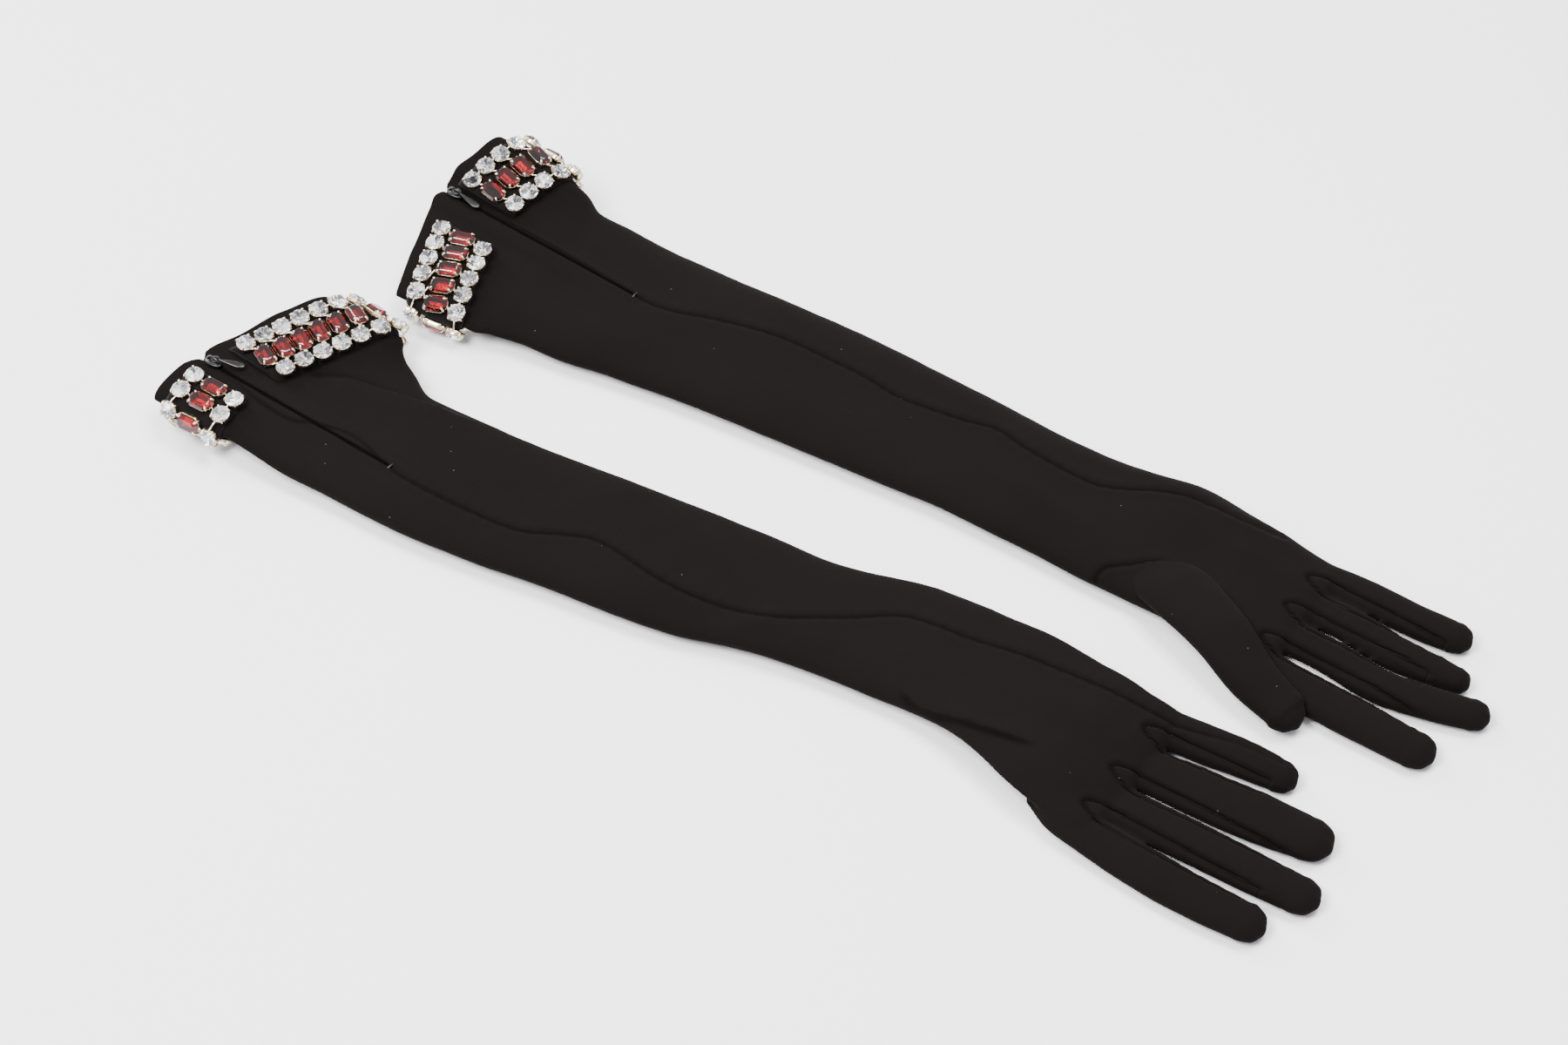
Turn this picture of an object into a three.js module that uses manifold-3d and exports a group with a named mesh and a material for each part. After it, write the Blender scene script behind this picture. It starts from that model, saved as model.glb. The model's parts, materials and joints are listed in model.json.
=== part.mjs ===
// A pair of long evening gloves laid flat: a left glove with its back up and its thumb tucked under,
// and a right glove with its palm up. Each has a jewelled band at the cuff and a zip along its seam.
// Millimetres. +X runs towards the fingertips, +Z is up, and the gloves rest on the plane z = 0.

import * as THREE from 'three';
import Module from 'manifold-3d';

const wasm = await Module();
wasm.setup();

// ---------------------------------------------------------------- driving dimensions

const CLOTH = 1.2; // wall of the sleeve, hand and fingers
const GAP = 0.3; // clearance between pieces that lie against each other

const BAND_WIDTH = 32; // backing strip under the stones, measured along the sleeve
const BAND_THICKNESS = 2;
const HEM = 6; // plain cloth between the band and the cuff's edge
const BAND_BREAK = 17; // where the band stops either side of the zip, from end to end

const ROW_SPACING = 11; // red row to each crystal row
const COLUMN_PITCH = 8.3; // least spacing of the columns
const COLUMNS_SHOWN = { below: 4, above: 6 }; // columns on the upper side of the left glove

const RED = { across: 11.6, along: 7.8, height: 4.2 };
const CRYSTAL = { across: 8.2, along: 8.2, height: 4.2 };
const CORNER_CUT = 0.29; // of a stone's width, off each corner
const SETTING_SEAT = 0.45; // from the band to the base of a setting
const CHORD = 7; // a setting lies along this much of the band
const LINK = { wide: 1.2, thick: 1, lift: 0.6, reach: 0.4 }; // wire between settings; lift and reach are shares

const ZIP_LENGTH = 100;
const ZIP_SLOT = 6.3; // opening in the seam that both tapes fill
const TAPE_THICKNESS = 1.2;
const ZIP_START = 0.5; // from the cuff's edge to the tapes
const SLIDER = { long: 8, wide: 4.6, high: 2.2, start: 1 };
const LUG = { apart: 3.8, wide: 1.6, thick: 0.8, below: 1.4, above: 0.8 }; // the two ears that hold the puller's pin
const STOP = { long: 2.3, rise: 0.6 };
const PULLER = { long: 14, wide: 3.8, thick: 1.1, drop: 0.11 };
const PULLER_WIDTHS = [ // share of the length, share of the width: a neck that swells to a teardrop
  [-0.06, 0.28], [0.1, 0.3], [0.35, 0.62], [0.62, 0.94], [0.8, 1], [0.94, 0.72], [1, 0.25],
];
const PLATE_SHARE = 0.6; // of the slider's height that is its plate
const PIVOT_RISE = 1.2; // of the puller's pin above the slider's plate

const FINGER_HEIGHT = 9.4;
const FOURCHETTE_WIDTH = 9; // strip between two fingers, both sides together
const THUMB_HOLE = { radius: 6, sides: 10 }; // opening in the palm where the thumb is set in

const TIP_RISE = 1.4; // a fingertip's underside curls up by this at its very end
const TIP_DROP = 2.6; // and its upper side comes down by this

const FLARE = { soft: 6, fade: 30 }; // rounding of the mouth's bend at the zip, and where the flare dies out

const EDGE_ROUND = 7; // the folded edges of the sleeve are no rounder than this
const RING_STEPS = 9; // steps across the top of a sleeve section
const FINGER_STEPS = 5;
const FINGER_MIDDLE = 6; // height of the middle of the cuts between the fingers
const CUT_MARGIN = 30; // a cutting block is this tall, so that it passes right through the cloth
const MOUTH_OVERRUN = 3; // the hollow runs past the cuff's edge by this, to open it
const SLOT = { before: 8, after: 3, lift: 1.5, deep: 13 }; // the cut for the zip, past both its ends
const BAND_CUT = { before: 12, after: 60, lift: 8, deep: 22 }; // the cut that parts the band at the zip

// ---------------------------------------------------------------- materials

const jersey = new THREE.MeshStandardMaterial({ color: 0x232020, roughness: 0.95, metalness: 0 });
const backing = new THREE.MeshStandardMaterial({ color: 0x1b191a, roughness: 0.9, metalness: 0 });
const redGlass = new THREE.MeshStandardMaterial({ color: 0xb0101f, roughness: 0.08, metalness: 0 });
const clearGlass = new THREE.MeshStandardMaterial({ color: 0xe9ebee, roughness: 0.05, metalness: 0 });
const tape = new THREE.MeshStandardMaterial({ color: 0x161515, roughness: 0.7, metalness: 0 });
const lacquer = new THREE.MeshStandardMaterial({ color: 0x0c0c0d, roughness: 0.2, metalness: 0.6 });

// ---------------------------------------------------------------- solids and booleans

function solid(points, faces) {
  const positions = new Float32Array(points.flatMap((p) => [p.x, p.y, p.z]));
  const outward = (triangles) => new wasm.Manifold(new wasm.Mesh({
    numProp: 3, vertProperties: positions, triVerts: new Uint32Array(triangles.flat()),
  }));
  const body = outward(faces);
  return body.volume() > 0 ? body : outward(faces.map(([a, b, c]) => [a, c, b]));
}

// Joins a run of rings, each with the same number of points, and closes both ends.
function skin(rings) {
  const count = rings[0].length;
  const points = rings.flat();
  const faces = [];
  for (let r = 0; r + 1 < rings.length; r += 1) {
    for (let i = 0; i < count; i += 1) {
      const a = r * count + i;
      const b = r * count + ((i + 1) % count);
      faces.push([a, b, b + count], [a, b + count, a + count]);
    }
  }
  for (const [ring, start, turn] of [[rings[0], 0, 1], [rings.at(-1), (rings.length - 1) * count, 0]]) {
    const middle = ring.reduce((sum, p) => sum.add(p), new THREE.Vector3()).divideScalar(count);
    points.push(middle);
    for (let i = 0; i < count; i += 1) {
      const a = start + i;
      const b = start + ((i + 1) % count);
      faces.push(turn ? [points.length - 1, b, a] : [points.length - 1, a, b]);
    }
  }
  return solid(points, faces);
}

// A hoop: the rings run over its outside and back over its inside.
function hoop(rings) {
  const count = rings[0].length;
  const faces = rings.flatMap((ring, r) => {
    const [here, next] = [r * count, ((r + 1) % rings.length) * count];
    return ring.flatMap((_, i) => {
      const j = (i + 1) % count;
      return [[here + i, here + j, next + j], [here + i, next + j, next + i]];
    });
  });
  return solid(rings.flat(), faces);
}

// A bar of rectangular section between two points.
function bar(from, to, width, thickness, up = new THREE.Vector3(0, 0, 1)) {
  const along = to.clone().sub(from).normalize();
  const side = new THREE.Vector3().crossVectors(up, along).normalize().multiplyScalar(width / 2);
  const lift = new THREE.Vector3().crossVectors(along, side).normalize().multiplyScalar(thickness / 2);
  const corners = [[-1, -1], [1, -1], [1, 1], [-1, 1]];
  const ring = (end) => corners.map(([s, l]) => end.clone().addScaledVector(side, s).addScaledVector(lift, l));
  return skin([ring(from), ring(to)]);
}

function mesh(name, body, material) {
  const { vertProperties, triVerts } = body.getMesh();
  const geometry = new THREE.BufferGeometry();
  geometry.setAttribute('position', new THREE.BufferAttribute(Float32Array.from(vertProperties), 3));
  geometry.setIndex(new THREE.BufferAttribute(Uint32Array.from(triVerts), 1));
  const part = new THREE.Mesh(geometry, material);
  part.name = name;
  return part;
}

const joined = (bodies) => bodies.reduce((sum, body) => sum.add(body));

// Keeps the largest piece, so that slivers left by a cut don't make a second body.
function largest(body) {
  return body.decompose().reduce((best, piece) => (piece.volume() > best.volume() ? piece : best));
}

// ---------------------------------------------------------------- cloth tubes

// A station is one flattened section of a tube: its middle (x, y), its heading in degrees, its half
// width, the height of its underside and the heights of its upper side from one edge to the other.
const station = (x, y, heading, half, bottom, tops) => ({ x, y, heading, half, bottom, tops: [tops].flat() });

function heightAt(tops, u) {
  if (tops.length === 1) return tops[0];
  const place = THREE.MathUtils.clamp(u, 0, 1) * (tops.length - 1);
  const low = Math.min(Math.floor(place), tops.length - 2);
  return THREE.MathUtils.lerp(tops[low], tops[low + 1], THREE.MathUtils.smoothstep(place - low, 0, 1));
}

function section(s, grow, steps) {
  const heading = THREE.MathUtils.degToRad(s.heading);
  const side = new THREE.Vector2(-Math.sin(heading), Math.cos(heading));
  const half = s.half + grow;
  const point = (v, upper) => {
    const top = heightAt(s.tops, (v + 1) / 2) + grow;
    const bottom = s.bottom - grow;
    const middle = (top + bottom) / 2;
    const squareness = Math.max(2.2, (0.8 * half) / Math.min(top - middle, EDGE_ROUND));
    const fall = Math.sqrt(1 - Math.abs(v) ** squareness);
    const z = upper ? middle + (top - middle) * fall : middle - (middle - bottom) * fall;
    return new THREE.Vector3(s.x + side.x * v * half, s.y + side.y * v * half, z);
  };
  const places = Array.from({ length: steps + 1 }, (_, j) => -Math.cos((Math.PI * j) / steps));
  places[0] = -1;
  places[steps] = 1;
  return [
    ...places.map((v) => point(v, true)),
    ...places.slice(1, -1).reverse().map((v) => point(v, false)),
  ];
}

function moved(s, distance) {
  const heading = THREE.MathUtils.degToRad(s.heading);
  return { ...s, x: s.x + Math.cos(heading) * distance, y: s.y + Math.sin(heading) * distance };
}

// The cuff flares, so its flattened mouth is bent at the zip and both its halves run back from there.
function flared(glove, ring) {
  const inner = glove.cuff[4].x;
  return ring.map((p) => {
    const away = p.y - glove.zip.from[1];
    const back = glove.flare * (Math.hypot(away, FLARE.soft) - FLARE.soft);
    return new THREE.Vector3(p.x + back * (1 - THREE.MathUtils.smoothstep(p.x, inner, inner + FLARE.fade)), p.y, p.z);
  });
}

function tube(glove, stations, grow, steps) {
  const ends = stations.map((s, i) => {
    if (i === 0) return moved(s, -grow);
    return i === stations.length - 1 ? moved(s, grow) : s;
  });
  return skin(ends.map((s) => flared(glove, section(s, grow, steps))));
}

// A finger: stations along its middle, closed by a round tip.
function finger(base, ...rest) {
  const stations = [base, ...rest];
  const tip = stations.pop();
  const last = stations.at(-1);
  const rounding = [[0, 1], [0.62, 0.84], [1, 0.34]]; // share of the way out, share of the width
  const tipFrom = moved(tip, -tip.half);
  const lead = rounding.map(([t, width]) => ({
    ...moved(tipFrom, t * tip.half),
    half: tip.half * width,
    bottom: tip.bottom + TIP_RISE * t,
    tops: [tip.tops[0] - TIP_DROP * t],
  }));
  return last ? [...stations, ...lead] : lead;
}

// ---------------------------------------------------------------- the two gloves

// Sections of the cuff, at distances from the red row. The mouth stands taller than the sleeve.
const cuff = (x, y, heading, half, rise) => [
  [-BAND_WIDTH / 2 - HEM, 0], [-ROW_SPACING, 1], [0, 2], [ROW_SPACING, 3], [BAND_WIDTH / 2 + 1, 4],
].map(([offset, i]) => station(x + offset, y, heading, half, 7, rise[i]));

const gloves = [
  {
    side: 'left',
    flare: 0.26,
    cuff: cuff(-221.5, -54, -12.8, 43.5, [
      [18, 17.5, 18, 22.5, 26], [16.5, 16.6, 17.2, 21, 24], [15.5, 15.8, 16.4, 19.5, 22.5],
      [14.8, 15, 15.6, 18, 21], [14.5, 14.7, 15, 17, 19.5],
    ]),
    sleeve: [
      station(-190, -56, -8, 41.5, 4.5, [14.2, 14.5, 14.6, 15.4, 16]),
      station(-174, -59, -4, 38.5, 1.5, [14, 14.2, 14.1, 14.2, 13.6]),
      station(-154, -62.5, 0, 34, 0, 14),
      station(-120, -62, 0, 34.5, 0, 14),
      station(-60, -56, 3, 33.5, 0, 14),
      station(0, -49, 4, 32.5, 0, 13.8),
      station(40, -42, 4, 28, 0, 13.8),
      station(80, -35, 2, 31, 0, 13.8),
      station(105, -33.5, -2, 31, 1.5, 14.4),
      station(130, -36, -3, 32.5, 6.8, 16),
      station(160, -42, -2, 36, 6.8, 16),
      station(180, -44.5, 0, 37.5, 4, 13.5),
      station(190, -45, 0, 38.5, 0.6, 10.5),
    ],
    fingers: [
      finger(station(178, -76, -4, 8.6, 1.6, 10.4), station(206, -79.2, -3, 9.4, 0, FINGER_HEIGHT),
        station(240, -81.3, 0, 9.6, 0, FINGER_HEIGHT), station(266, -80.5, 3, 8.8, 0, 9)),
      finger(station(178, -59, 0, 8.6, 1.6, 10.4), station(206, -59, 0, 9.4, 0, FINGER_HEIGHT),
        station(240, -59.3, 0, 9.6, 0, FINGER_HEIGHT), station(276.5, -58.7, 0, 9, 0, 9)),
      finger(station(178, -38, 0, 9, 1.6, 10.4), station(206, -36.6, 2, 11, 0, FINGER_HEIGHT),
        station(236, -34.7, 3, 12, 0, FINGER_HEIGHT), station(268, -33.2, 0, 10.5, 0, 9)),
      finger(station(178, -16.5, 4, 8.4, 1.6, 10), station(202, -13.8, 4, 9.4, 0, FINGER_HEIGHT),
        station(222, -12.3, 0, 9, 0, FINGER_HEIGHT), station(242, -12.3, -2, 7.8, 0, 9)),
    ],
    thumb: finger(station(120, -48, 5, 9, 1, 5.2), station(140, -46, 8, 12, 0, 6.4),
      station(164, -42, 8, 10, 0, 6.4), station(186, -39.5, 5, 9, 0, 5.4)),
    thumbHole: { x: 142, y: -46, from: 3, to: 10 },
    gaps: [
      { name: 'index_middle', from: [188, -69], to: [256, -70.4] },
      { name: 'middle_ring', from: [188, -48.9], to: [258, -48.1] },
      { name: 'ring_little', from: [188, -24.8], to: [234, -21.8] },
    ],
    zip: { from: [-242, -70, 17.2], to: [-142, -74.5, 14.2], pullerTurn: 26 },
    firstColumn: { below: 13, above: 14 },
    columnsShown: { first: COLUMNS_SHOWN.below, last: COLUMNS_SHOWN.above },
  },
  {
    side: 'right',
    flare: 0.3,
    cuff: cuff(-201, 58.5, 2.2, 46, [
      [12, 17, 21.5, 31, 40], [12, 17, 20.5, 29, 37.5], [11.6, 16.8, 19.6, 27, 35],
      [11.6, 16.5, 18.8, 24, 30.5], [11.6, 16.2, 18.2, 22.5, 28],
    ]),
    sleeve: [
      station(-163, 58.5, 4, 42.5, 4.5, [13.4, 15.8, 17.4, 19.5, 21]),
      station(-147, 61, 2, 41.5, 2, [13.8, 14.9, 16, 17, 17]),
      station(-127, 62, 0, 40.5, 0, [14, 14.2, 14.8, 15, 14.6]),
      station(-104, 64.5, 0, 39, 0, 14),
      station(-70, 66.5, 0, 37.5, 0, 14),
      station(-20, 68.5, 0, 36, 0, 13.8),
      station(40, 68.5, 0, 32.5, 0, 13.8),
      station(85, 67, 0, 31, 0, 13.8),
      station(115, 67, 0, 33, 0, 13.8),
      station(140, 69, 0, 35, 0, 13.8),
      station(165, 67, 0, 34, 0, 13.6),
      station(190, 61, -2, 36, 0, 12),
      station(203, 58.5, -2, 37.5, 0.6, 10.2),
    ],
    fingers: [
      finger(station(190, 33, -2, 8.6, 1.6, 10.2), station(216, 31.5, -2, 9.4, 0, FINGER_HEIGHT),
        station(245, 29.6, -3, 9.5, 0, FINGER_HEIGHT), station(279, 28.5, 0, 9, 0, 9)),
      finger(station(190, 54, 0, 8.4, 1.6, 10.2), station(216, 53.4, -6, 8.6, 0, FINGER_HEIGHT),
        station(245, 49.9, 0, 8.3, 0, FINGER_HEIGHT), station(268, 53.3, 12, 8, 0, FINGER_HEIGHT),
        station(287.5, 58.2, 14, 7.6, 0, 9)),
      finger(station(190, 72, 0, 8.4, 1.6, 10.2), station(216, 72.2, 0, 8.5, 0, FINGER_HEIGHT),
        station(245, 68.6, -4, 8.4, 0, FINGER_HEIGHT), station(273, 69.6, 2, 5.8, 0, 9)),
      finger(station(190, 88, 0, 7.6, 1.6, 10), station(216, 89.8, 0, 8, 0, FINGER_HEIGHT),
        station(240, 88.7, 0, 8.1, 0, FINGER_HEIGHT), station(264, 89.5, 0, 7.6, 0, 9)),
    ],
    thumb: finger(station(138, 52, -15, 12, 4, 12.5), station(160, 44, -23, 14.5, 7, 17.5),
      station(182, 34, -25, 13, 7, 18.5), station(204, 22, -24, 11, 3.5, 15.5), station(229, 13.5, -12, 8.8, 2, 12)),
    thumbHole: { x: 150, y: 49, from: 8, to: 15 },
    gaps: [
      { name: 'index_middle', from: [201, 43.4], to: [264, 40] },
      { name: 'middle_ring', from: [201, 63], to: [258, 60.2] },
      { name: 'ring_little', from: [201, 81.2], to: [256, 79] },
    ],
    zip: { from: [-220, 66, 24.4], to: [-120, 65.2, 15], pullerTurn: -3 },
    firstColumn: { below: 20, above: 9.5 },
    columnsShown: { first: COLUMNS_SHOWN.above, last: COLUMNS_SHOWN.below },
  },
];

const vector = ([x, y, z]) => new THREE.Vector3(x, y, z);
const UP = new THREE.Vector3(0, 0, 1);

// ---------------------------------------------------------------- sleeve, hand and fingers

function handVolume(glove, grow, mouth) {
  const stations = [...glove.cuff, ...glove.sleeve];
  const sleeve = tube(glove, mouth ? [moved(stations[0], -mouth), ...stations] : stations, grow, RING_STEPS);
  return joined([sleeve, ...glove.fingers.map((f) => tube(glove, f, grow, FINGER_STEPS))]);
}

function zipFrame(zip) {
  const from = vector(zip.from);
  const along = vector(zip.to).sub(from).normalize();
  const side = new THREE.Vector3().crossVectors(UP, along).normalize();
  const up = new THREE.Vector3().crossVectors(along, side).normalize();
  const place = (distance, across, lift) => from.clone()
    .addScaledVector(along, distance).addScaledVector(side, across).addScaledVector(up, lift);
  return { along, side, up, place };
}

function cloth(glove) {
  const { side, thumb, thumbHole, gaps } = glove;
  const outer = handVolume(glove, 0, 0);
  const hole = prism(thumbHole, THUMB_HOLE.radius, THUMB_HOLE.sides);
  const shell = outer.subtract(handVolume(glove, -CLOTH, MOUTH_OVERRUN)).subtract(hole);
  const strips = gaps.map(({ from, to }) => (grow) => bar(
    new THREE.Vector3(from[0] - grow, from[1], FINGER_MIDDLE), new THREE.Vector3(to[0] + grow, to[1], FINGER_MIDDLE),
    FOURCHETTE_WIDTH + 2 * grow, CUT_MARGIN));
  const frame = zipFrame(glove.zip);
  const slot = bar(frame.place(-SLOT.before, 0, SLOT.lift), frame.place(ZIP_LENGTH + SLOT.after, 0, SLOT.lift),
    ZIP_SLOT, SLOT.deep, frame.up);
  const trank = strips.reduce((body, strip) => body.subtract(strip(GAP)), shell.subtract(slot));
  const clear = handVolume(glove, GAP, 0);
  const seat = handVolume(glove, GAP + CLOTH, 0);
  const thumbShell = tube(glove, thumb, 0, FINGER_STEPS).subtract(clear)
    .subtract(tube(glove, thumb, -CLOTH, FINGER_STEPS).subtract(seat)).subtract(hole);
  return [
    mesh(`${side}_trank`, largest(trank), jersey),
    mesh(`${side}_thumb`, largest(thumbShell), jersey),
    ...gaps.map(({ name }, i) => mesh(`${side}_fourchette_${name}`, largest(shell.intersect(strips[i](0))), jersey)),
  ];
}

function prism({ x, y, from, to }, radius, sides) {
  const ring = (z) => Array.from({ length: sides }, (_, i) => {
    const turn = (2 * Math.PI * i) / sides;
    return new THREE.Vector3(x + radius * Math.cos(turn), y + radius * Math.sin(turn), z);
  });
  return skin([ring(from), ring(to)]);
}

// ---------------------------------------------------------------- jewelled band

function between(a, b, t) {
  const mix = (p, q) => THREE.MathUtils.lerp(p, q, t);
  return {
    ...a, x: mix(a.x, b.x), y: mix(a.y, b.y), half: mix(a.half, b.half), bottom: mix(a.bottom, b.bottom),
    tops: a.tops.map((top, i) => mix(top, b.tops[i])),
  };
}

function cuffSection(glove, offset) {
  const red = glove.cuff[2].x;
  const i = Math.max(0, glove.cuff.findLastIndex((s) => s.x - red <= offset + 1e-6));
  const [a, b] = [glove.cuff[Math.min(i, 3)], glove.cuff[Math.min(i, 3) + 1]];
  return between(a, b, (offset + red - a.x) / (b.x - a.x));
}

function band(glove) {
  const offsets = [-BAND_WIDTH / 2, -ROW_SPACING, 0, ROW_SPACING, BAND_WIDTH / 2];
  const stations = offsets.map((offset) => cuffSection(glove, offset));
  const rings = (grow) => stations.map((s) => flared(glove, section(s, grow, RING_STEPS)));
  const frame = zipFrame(glove.zip);
  const opening = bar(frame.place(-BAND_CUT.before, 0, BAND_CUT.lift), frame.place(BAND_CUT.after, 0, BAND_CUT.lift),
    BAND_BREAK, BAND_CUT.deep, frame.up);
  const strip = hoop([...rings(GAP + BAND_THICKNESS), ...rings(GAP).reverse()]).subtract(opening);
  return mesh(`${glove.side}_jewel_band`, largest(strip), backing);
}

// A closed outline with a place and an outward direction at each distance along it.
function outline(points, start) {
  const lengths = points.map((p, i) => p.distanceTo(points[(i + 1) % points.length]));
  const total = lengths.reduce((a, b) => a + b);
  const at = (distance) => {
    let rest = (((start + distance) % total) + total) % total;
    let i = 0;
    while (rest > lengths[i]) {
      rest -= lengths[i];
      i = (i + 1) % points.length;
    }
    return points[i].clone().lerp(points[(i + 1) % points.length], rest / lengths[i]);
  };
  return { total, at };
}

function nearestDistance(points, target) {
  let best = { gap: Infinity, distance: 0 };
  let run = 0;
  points.forEach((p, i) => {
    const q = points[(i + 1) % points.length];
    for (let t = 0; t < 1; t += 0.05) {
      const gap = p.clone().lerp(q, t).distanceTo(target);
      if (gap < best.gap) best = { gap, distance: run + t * p.distanceTo(q) };
    }
    run += p.distanceTo(q);
  });
  return best.distance;
}

// Frames of the columns of one row: place on the band, direction across it, along the row, and out.
// A setting stands clear of the band's facets under its whole base.
function rowFrames(glove, offset, stone) {
  const paths = [-0.5, 0, 0.5].map((share) => {
    const shift = share * stone.across;
    const points = flared(glove, section(cuffSection(glove, offset + shift), GAP + BAND_THICKNESS, RING_STEPS)).reverse();
    const zipAt = zipFrame(glove.zip).place(BAND_WIDTH / 2 + HEM + offset + shift, 0, BAND_THICKNESS);
    return outline(points, nearestDistance(points, zipAt));
  });
  const [before, path, after] = paths;
  const run = path.total - glove.firstColumn.below - glove.firstColumn.above;
  const count = Math.floor(run / COLUMN_PITCH) + 1;
  const samples = [-0.5, -0.35, -0.2, 0, 0.2, 0.35, 0.5].map((share) => share * stone.along);
  return Array.from({ length: count }, (_, k) => {
    const distance = glove.firstColumn.below + (run * k) / (count - 1);
    const along = path.at(distance + CHORD / 2).sub(path.at(distance - CHORD / 2)).normalize();
    const same = (other) => other.at(distance * (other.total / path.total));
    const across = same(after).sub(same(before));
    const out = new THREE.Vector3().crossVectors(along, across).normalize();
    across.crossVectors(out, along).normalize();
    const seat = path.at(distance);
    const lifts = paths.flatMap((other) => samples
      .map((s) => other.at((distance + s) * (other.total / path.total)).sub(seat).dot(out)));
    return { seat: seat.addScaledVector(out, Math.max(...lifts) + SETTING_SEAT), across, along, out };
  });
}

// The outline of a stone in its setting: cut at the corners, or a plain block on the hidden underside.
function stoneOutline(stone, plain) {
  const a = stone.across / 2;
  const b = stone.along / 2;
  const c = CORNER_CUT * stone.along;
  if (plain) return [[a, b], [-a, b], [-a, -b], [a, -b]];
  return [[a, b - c], [a - c, b], [c - a, b], [-a, b - c], [-a, c - b], [c - a, -b], [a - c, -b], [a, c - b]];
}

// A stone in its setting, by levels of its profile: share of the outline, share of the height.
function setting(frame, stone, { levels, plain }) {
  const corners = stoneOutline(stone, plain);
  return skin(levels.map(([width, lift]) => corners.map(([p, q]) => frame.seat.clone()
    .addScaledVector(frame.across, p * width).addScaledVector(frame.along, q * width)
    .addScaledVector(frame.out, lift * stone.height))));
}

const CUT = { levels: [[0.9, 0], [1, 0.6], [0.68, 1]], plain: false };
const TURNED = { levels: [[0.92, 0], [0.86, 1]], plain: false };
const BLOCK = { levels: [[0.86, 0], [0.84, 1]], plain: true };

function chain(frames, stone, profile) {
  const cups = frames.map((frame) => setting(frame, stone, profile));
  const edge = (frame, way) => frame.seat.clone().addScaledVector(frame.out, stone.height * LINK.lift)
    .addScaledVector(frame.along, way * stone.along * LINK.reach);
  const links = frames.slice(1)
    .map((frame, i) => bar(edge(frames[i], 1), edge(frame, -1), LINK.wide, LINK.thick, frame.out));
  return joined([...cups, ...links]);
}

function stones(glove) {
  const { side, columnsShown: { first, last } } = glove;
  const rows = { outer: -ROW_SPACING, red: 0, inner: ROW_SPACING };
  const parts = [];
  const frames = Object.fromEntries(Object.entries(rows)
    .map(([name, offset]) => [name, rowFrames(glove, offset, name === 'red' ? RED : CRYSTAL)]));
  const count = frames.red.length;
  const shown = [...frames.red.slice(0, first), ...frames.red.slice(count - last)];
  shown.forEach((frame, i) => {
    parts.push(mesh(`${side}_red_stone_${String(i + 1).padStart(2, '0')}`, setting(frame, RED, CUT), redGlass));
  });
  const hidden = frames.red.slice(first, count - last);
  parts.push(mesh(`${side}_red_stones_under`, chain(hidden, RED, BLOCK), redGlass));
  for (const row of ['outer', 'inner']) {
    const all = frames[row];
    const end = all.length - last;
    const spans = { front: all.slice(0, first), under: all.slice(first, end), back: all.slice(end) };
    for (const [span, list] of Object.entries(spans)) {
      const crystals = chain(list, CRYSTAL, span === 'under' ? BLOCK : TURNED);
      parts.push(mesh(`${side}_crystals_${row}_${span}`, crystals, clearGlass));
    }
  }
  return parts;
}

// ---------------------------------------------------------------- zip

function zipParts(glove) {
  const { side } = glove;
  const frame = zipFrame(glove.zip);
  const tapeWidth = (ZIP_SLOT - 3 * GAP) / 2;
  const across = (tapeWidth + GAP) / 2;
  const tapes = ['front', 'back'].map((name, i) => mesh(`${side}_zip_tape_${name}`, bar(
    frame.place(ZIP_START, (i ? 1 : -1) * across, 0), frame.place(ZIP_LENGTH, (i ? 1 : -1) * across, 0),
    tapeWidth, TAPE_THICKNESS, frame.up), tape));
  const stop = bar(frame.place(ZIP_LENGTH + GAP, 0, 0), frame.place(ZIP_LENGTH + GAP + STOP.long, 0, 0),
    ZIP_SLOT - 2 * GAP, TAPE_THICKNESS + STOP.rise, frame.up);

  const seat = TAPE_THICKNESS / 2 + GAP;
  const plateHigh = SLIDER.high * PLATE_SHARE;
  const plateMiddle = seat + plateHigh / 2;
  const plate = bar(frame.place(SLIDER.start, 0, plateMiddle), frame.place(SLIDER.start + SLIDER.long, 0, plateMiddle),
    SLIDER.wide, plateHigh, frame.up);
  const turn = THREE.MathUtils.degToRad(glove.zip.pullerTurn);
  const reach = frame.along.clone().applyAxisAngle(frame.up, turn);
  const axis = frame.side.clone().applyAxisAngle(frame.up, turn);
  const pivot = frame.place(SLIDER.start + SLIDER.long / 2, 0, seat + plateHigh + PIVOT_RISE);
  const lug = (way) => {
    const ear = (rise) => pivot.clone().addScaledVector(axis, (way * LUG.apart) / 2).addScaledVector(frame.up, rise);
    return bar(ear(-LUG.below), ear(LUG.above), LUG.wide, LUG.thick, axis);
  };
  const slider = joined([plate, lug(-1), lug(1)]);

  const fall = reach.clone().addScaledVector(frame.up, -PULLER.drop).normalize();
  const lift = new THREE.Vector3().crossVectors(fall, axis).normalize();
  const outlinePoints = [...PULLER_WIDTHS, ...PULLER_WIDTHS.map(([t, w]) => [t, -w]).reverse()];
  const face = (h) => outlinePoints.map(([t, w]) => pivot.clone().addScaledVector(fall, t * PULLER.long)
    .addScaledVector(axis, (w * PULLER.wide) / 2).addScaledVector(lift, (h * PULLER.thick) / 2));
  return [
    ...tapes,
    mesh(`${side}_zip_bottom_stop`, stop, lacquer),
    mesh(`${side}_zip_slider`, slider, lacquer),
    mesh(`${side}_zip_puller`, skin([face(-1), face(1)]), lacquer),
  ];
}

// ---------------------------------------------------------------- assembly

const pair = new THREE.Group();
for (const glove of gloves) {
  pair.add(...cloth(glove), band(glove), ...stones(glove), ...zipParts(glove));
}

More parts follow.
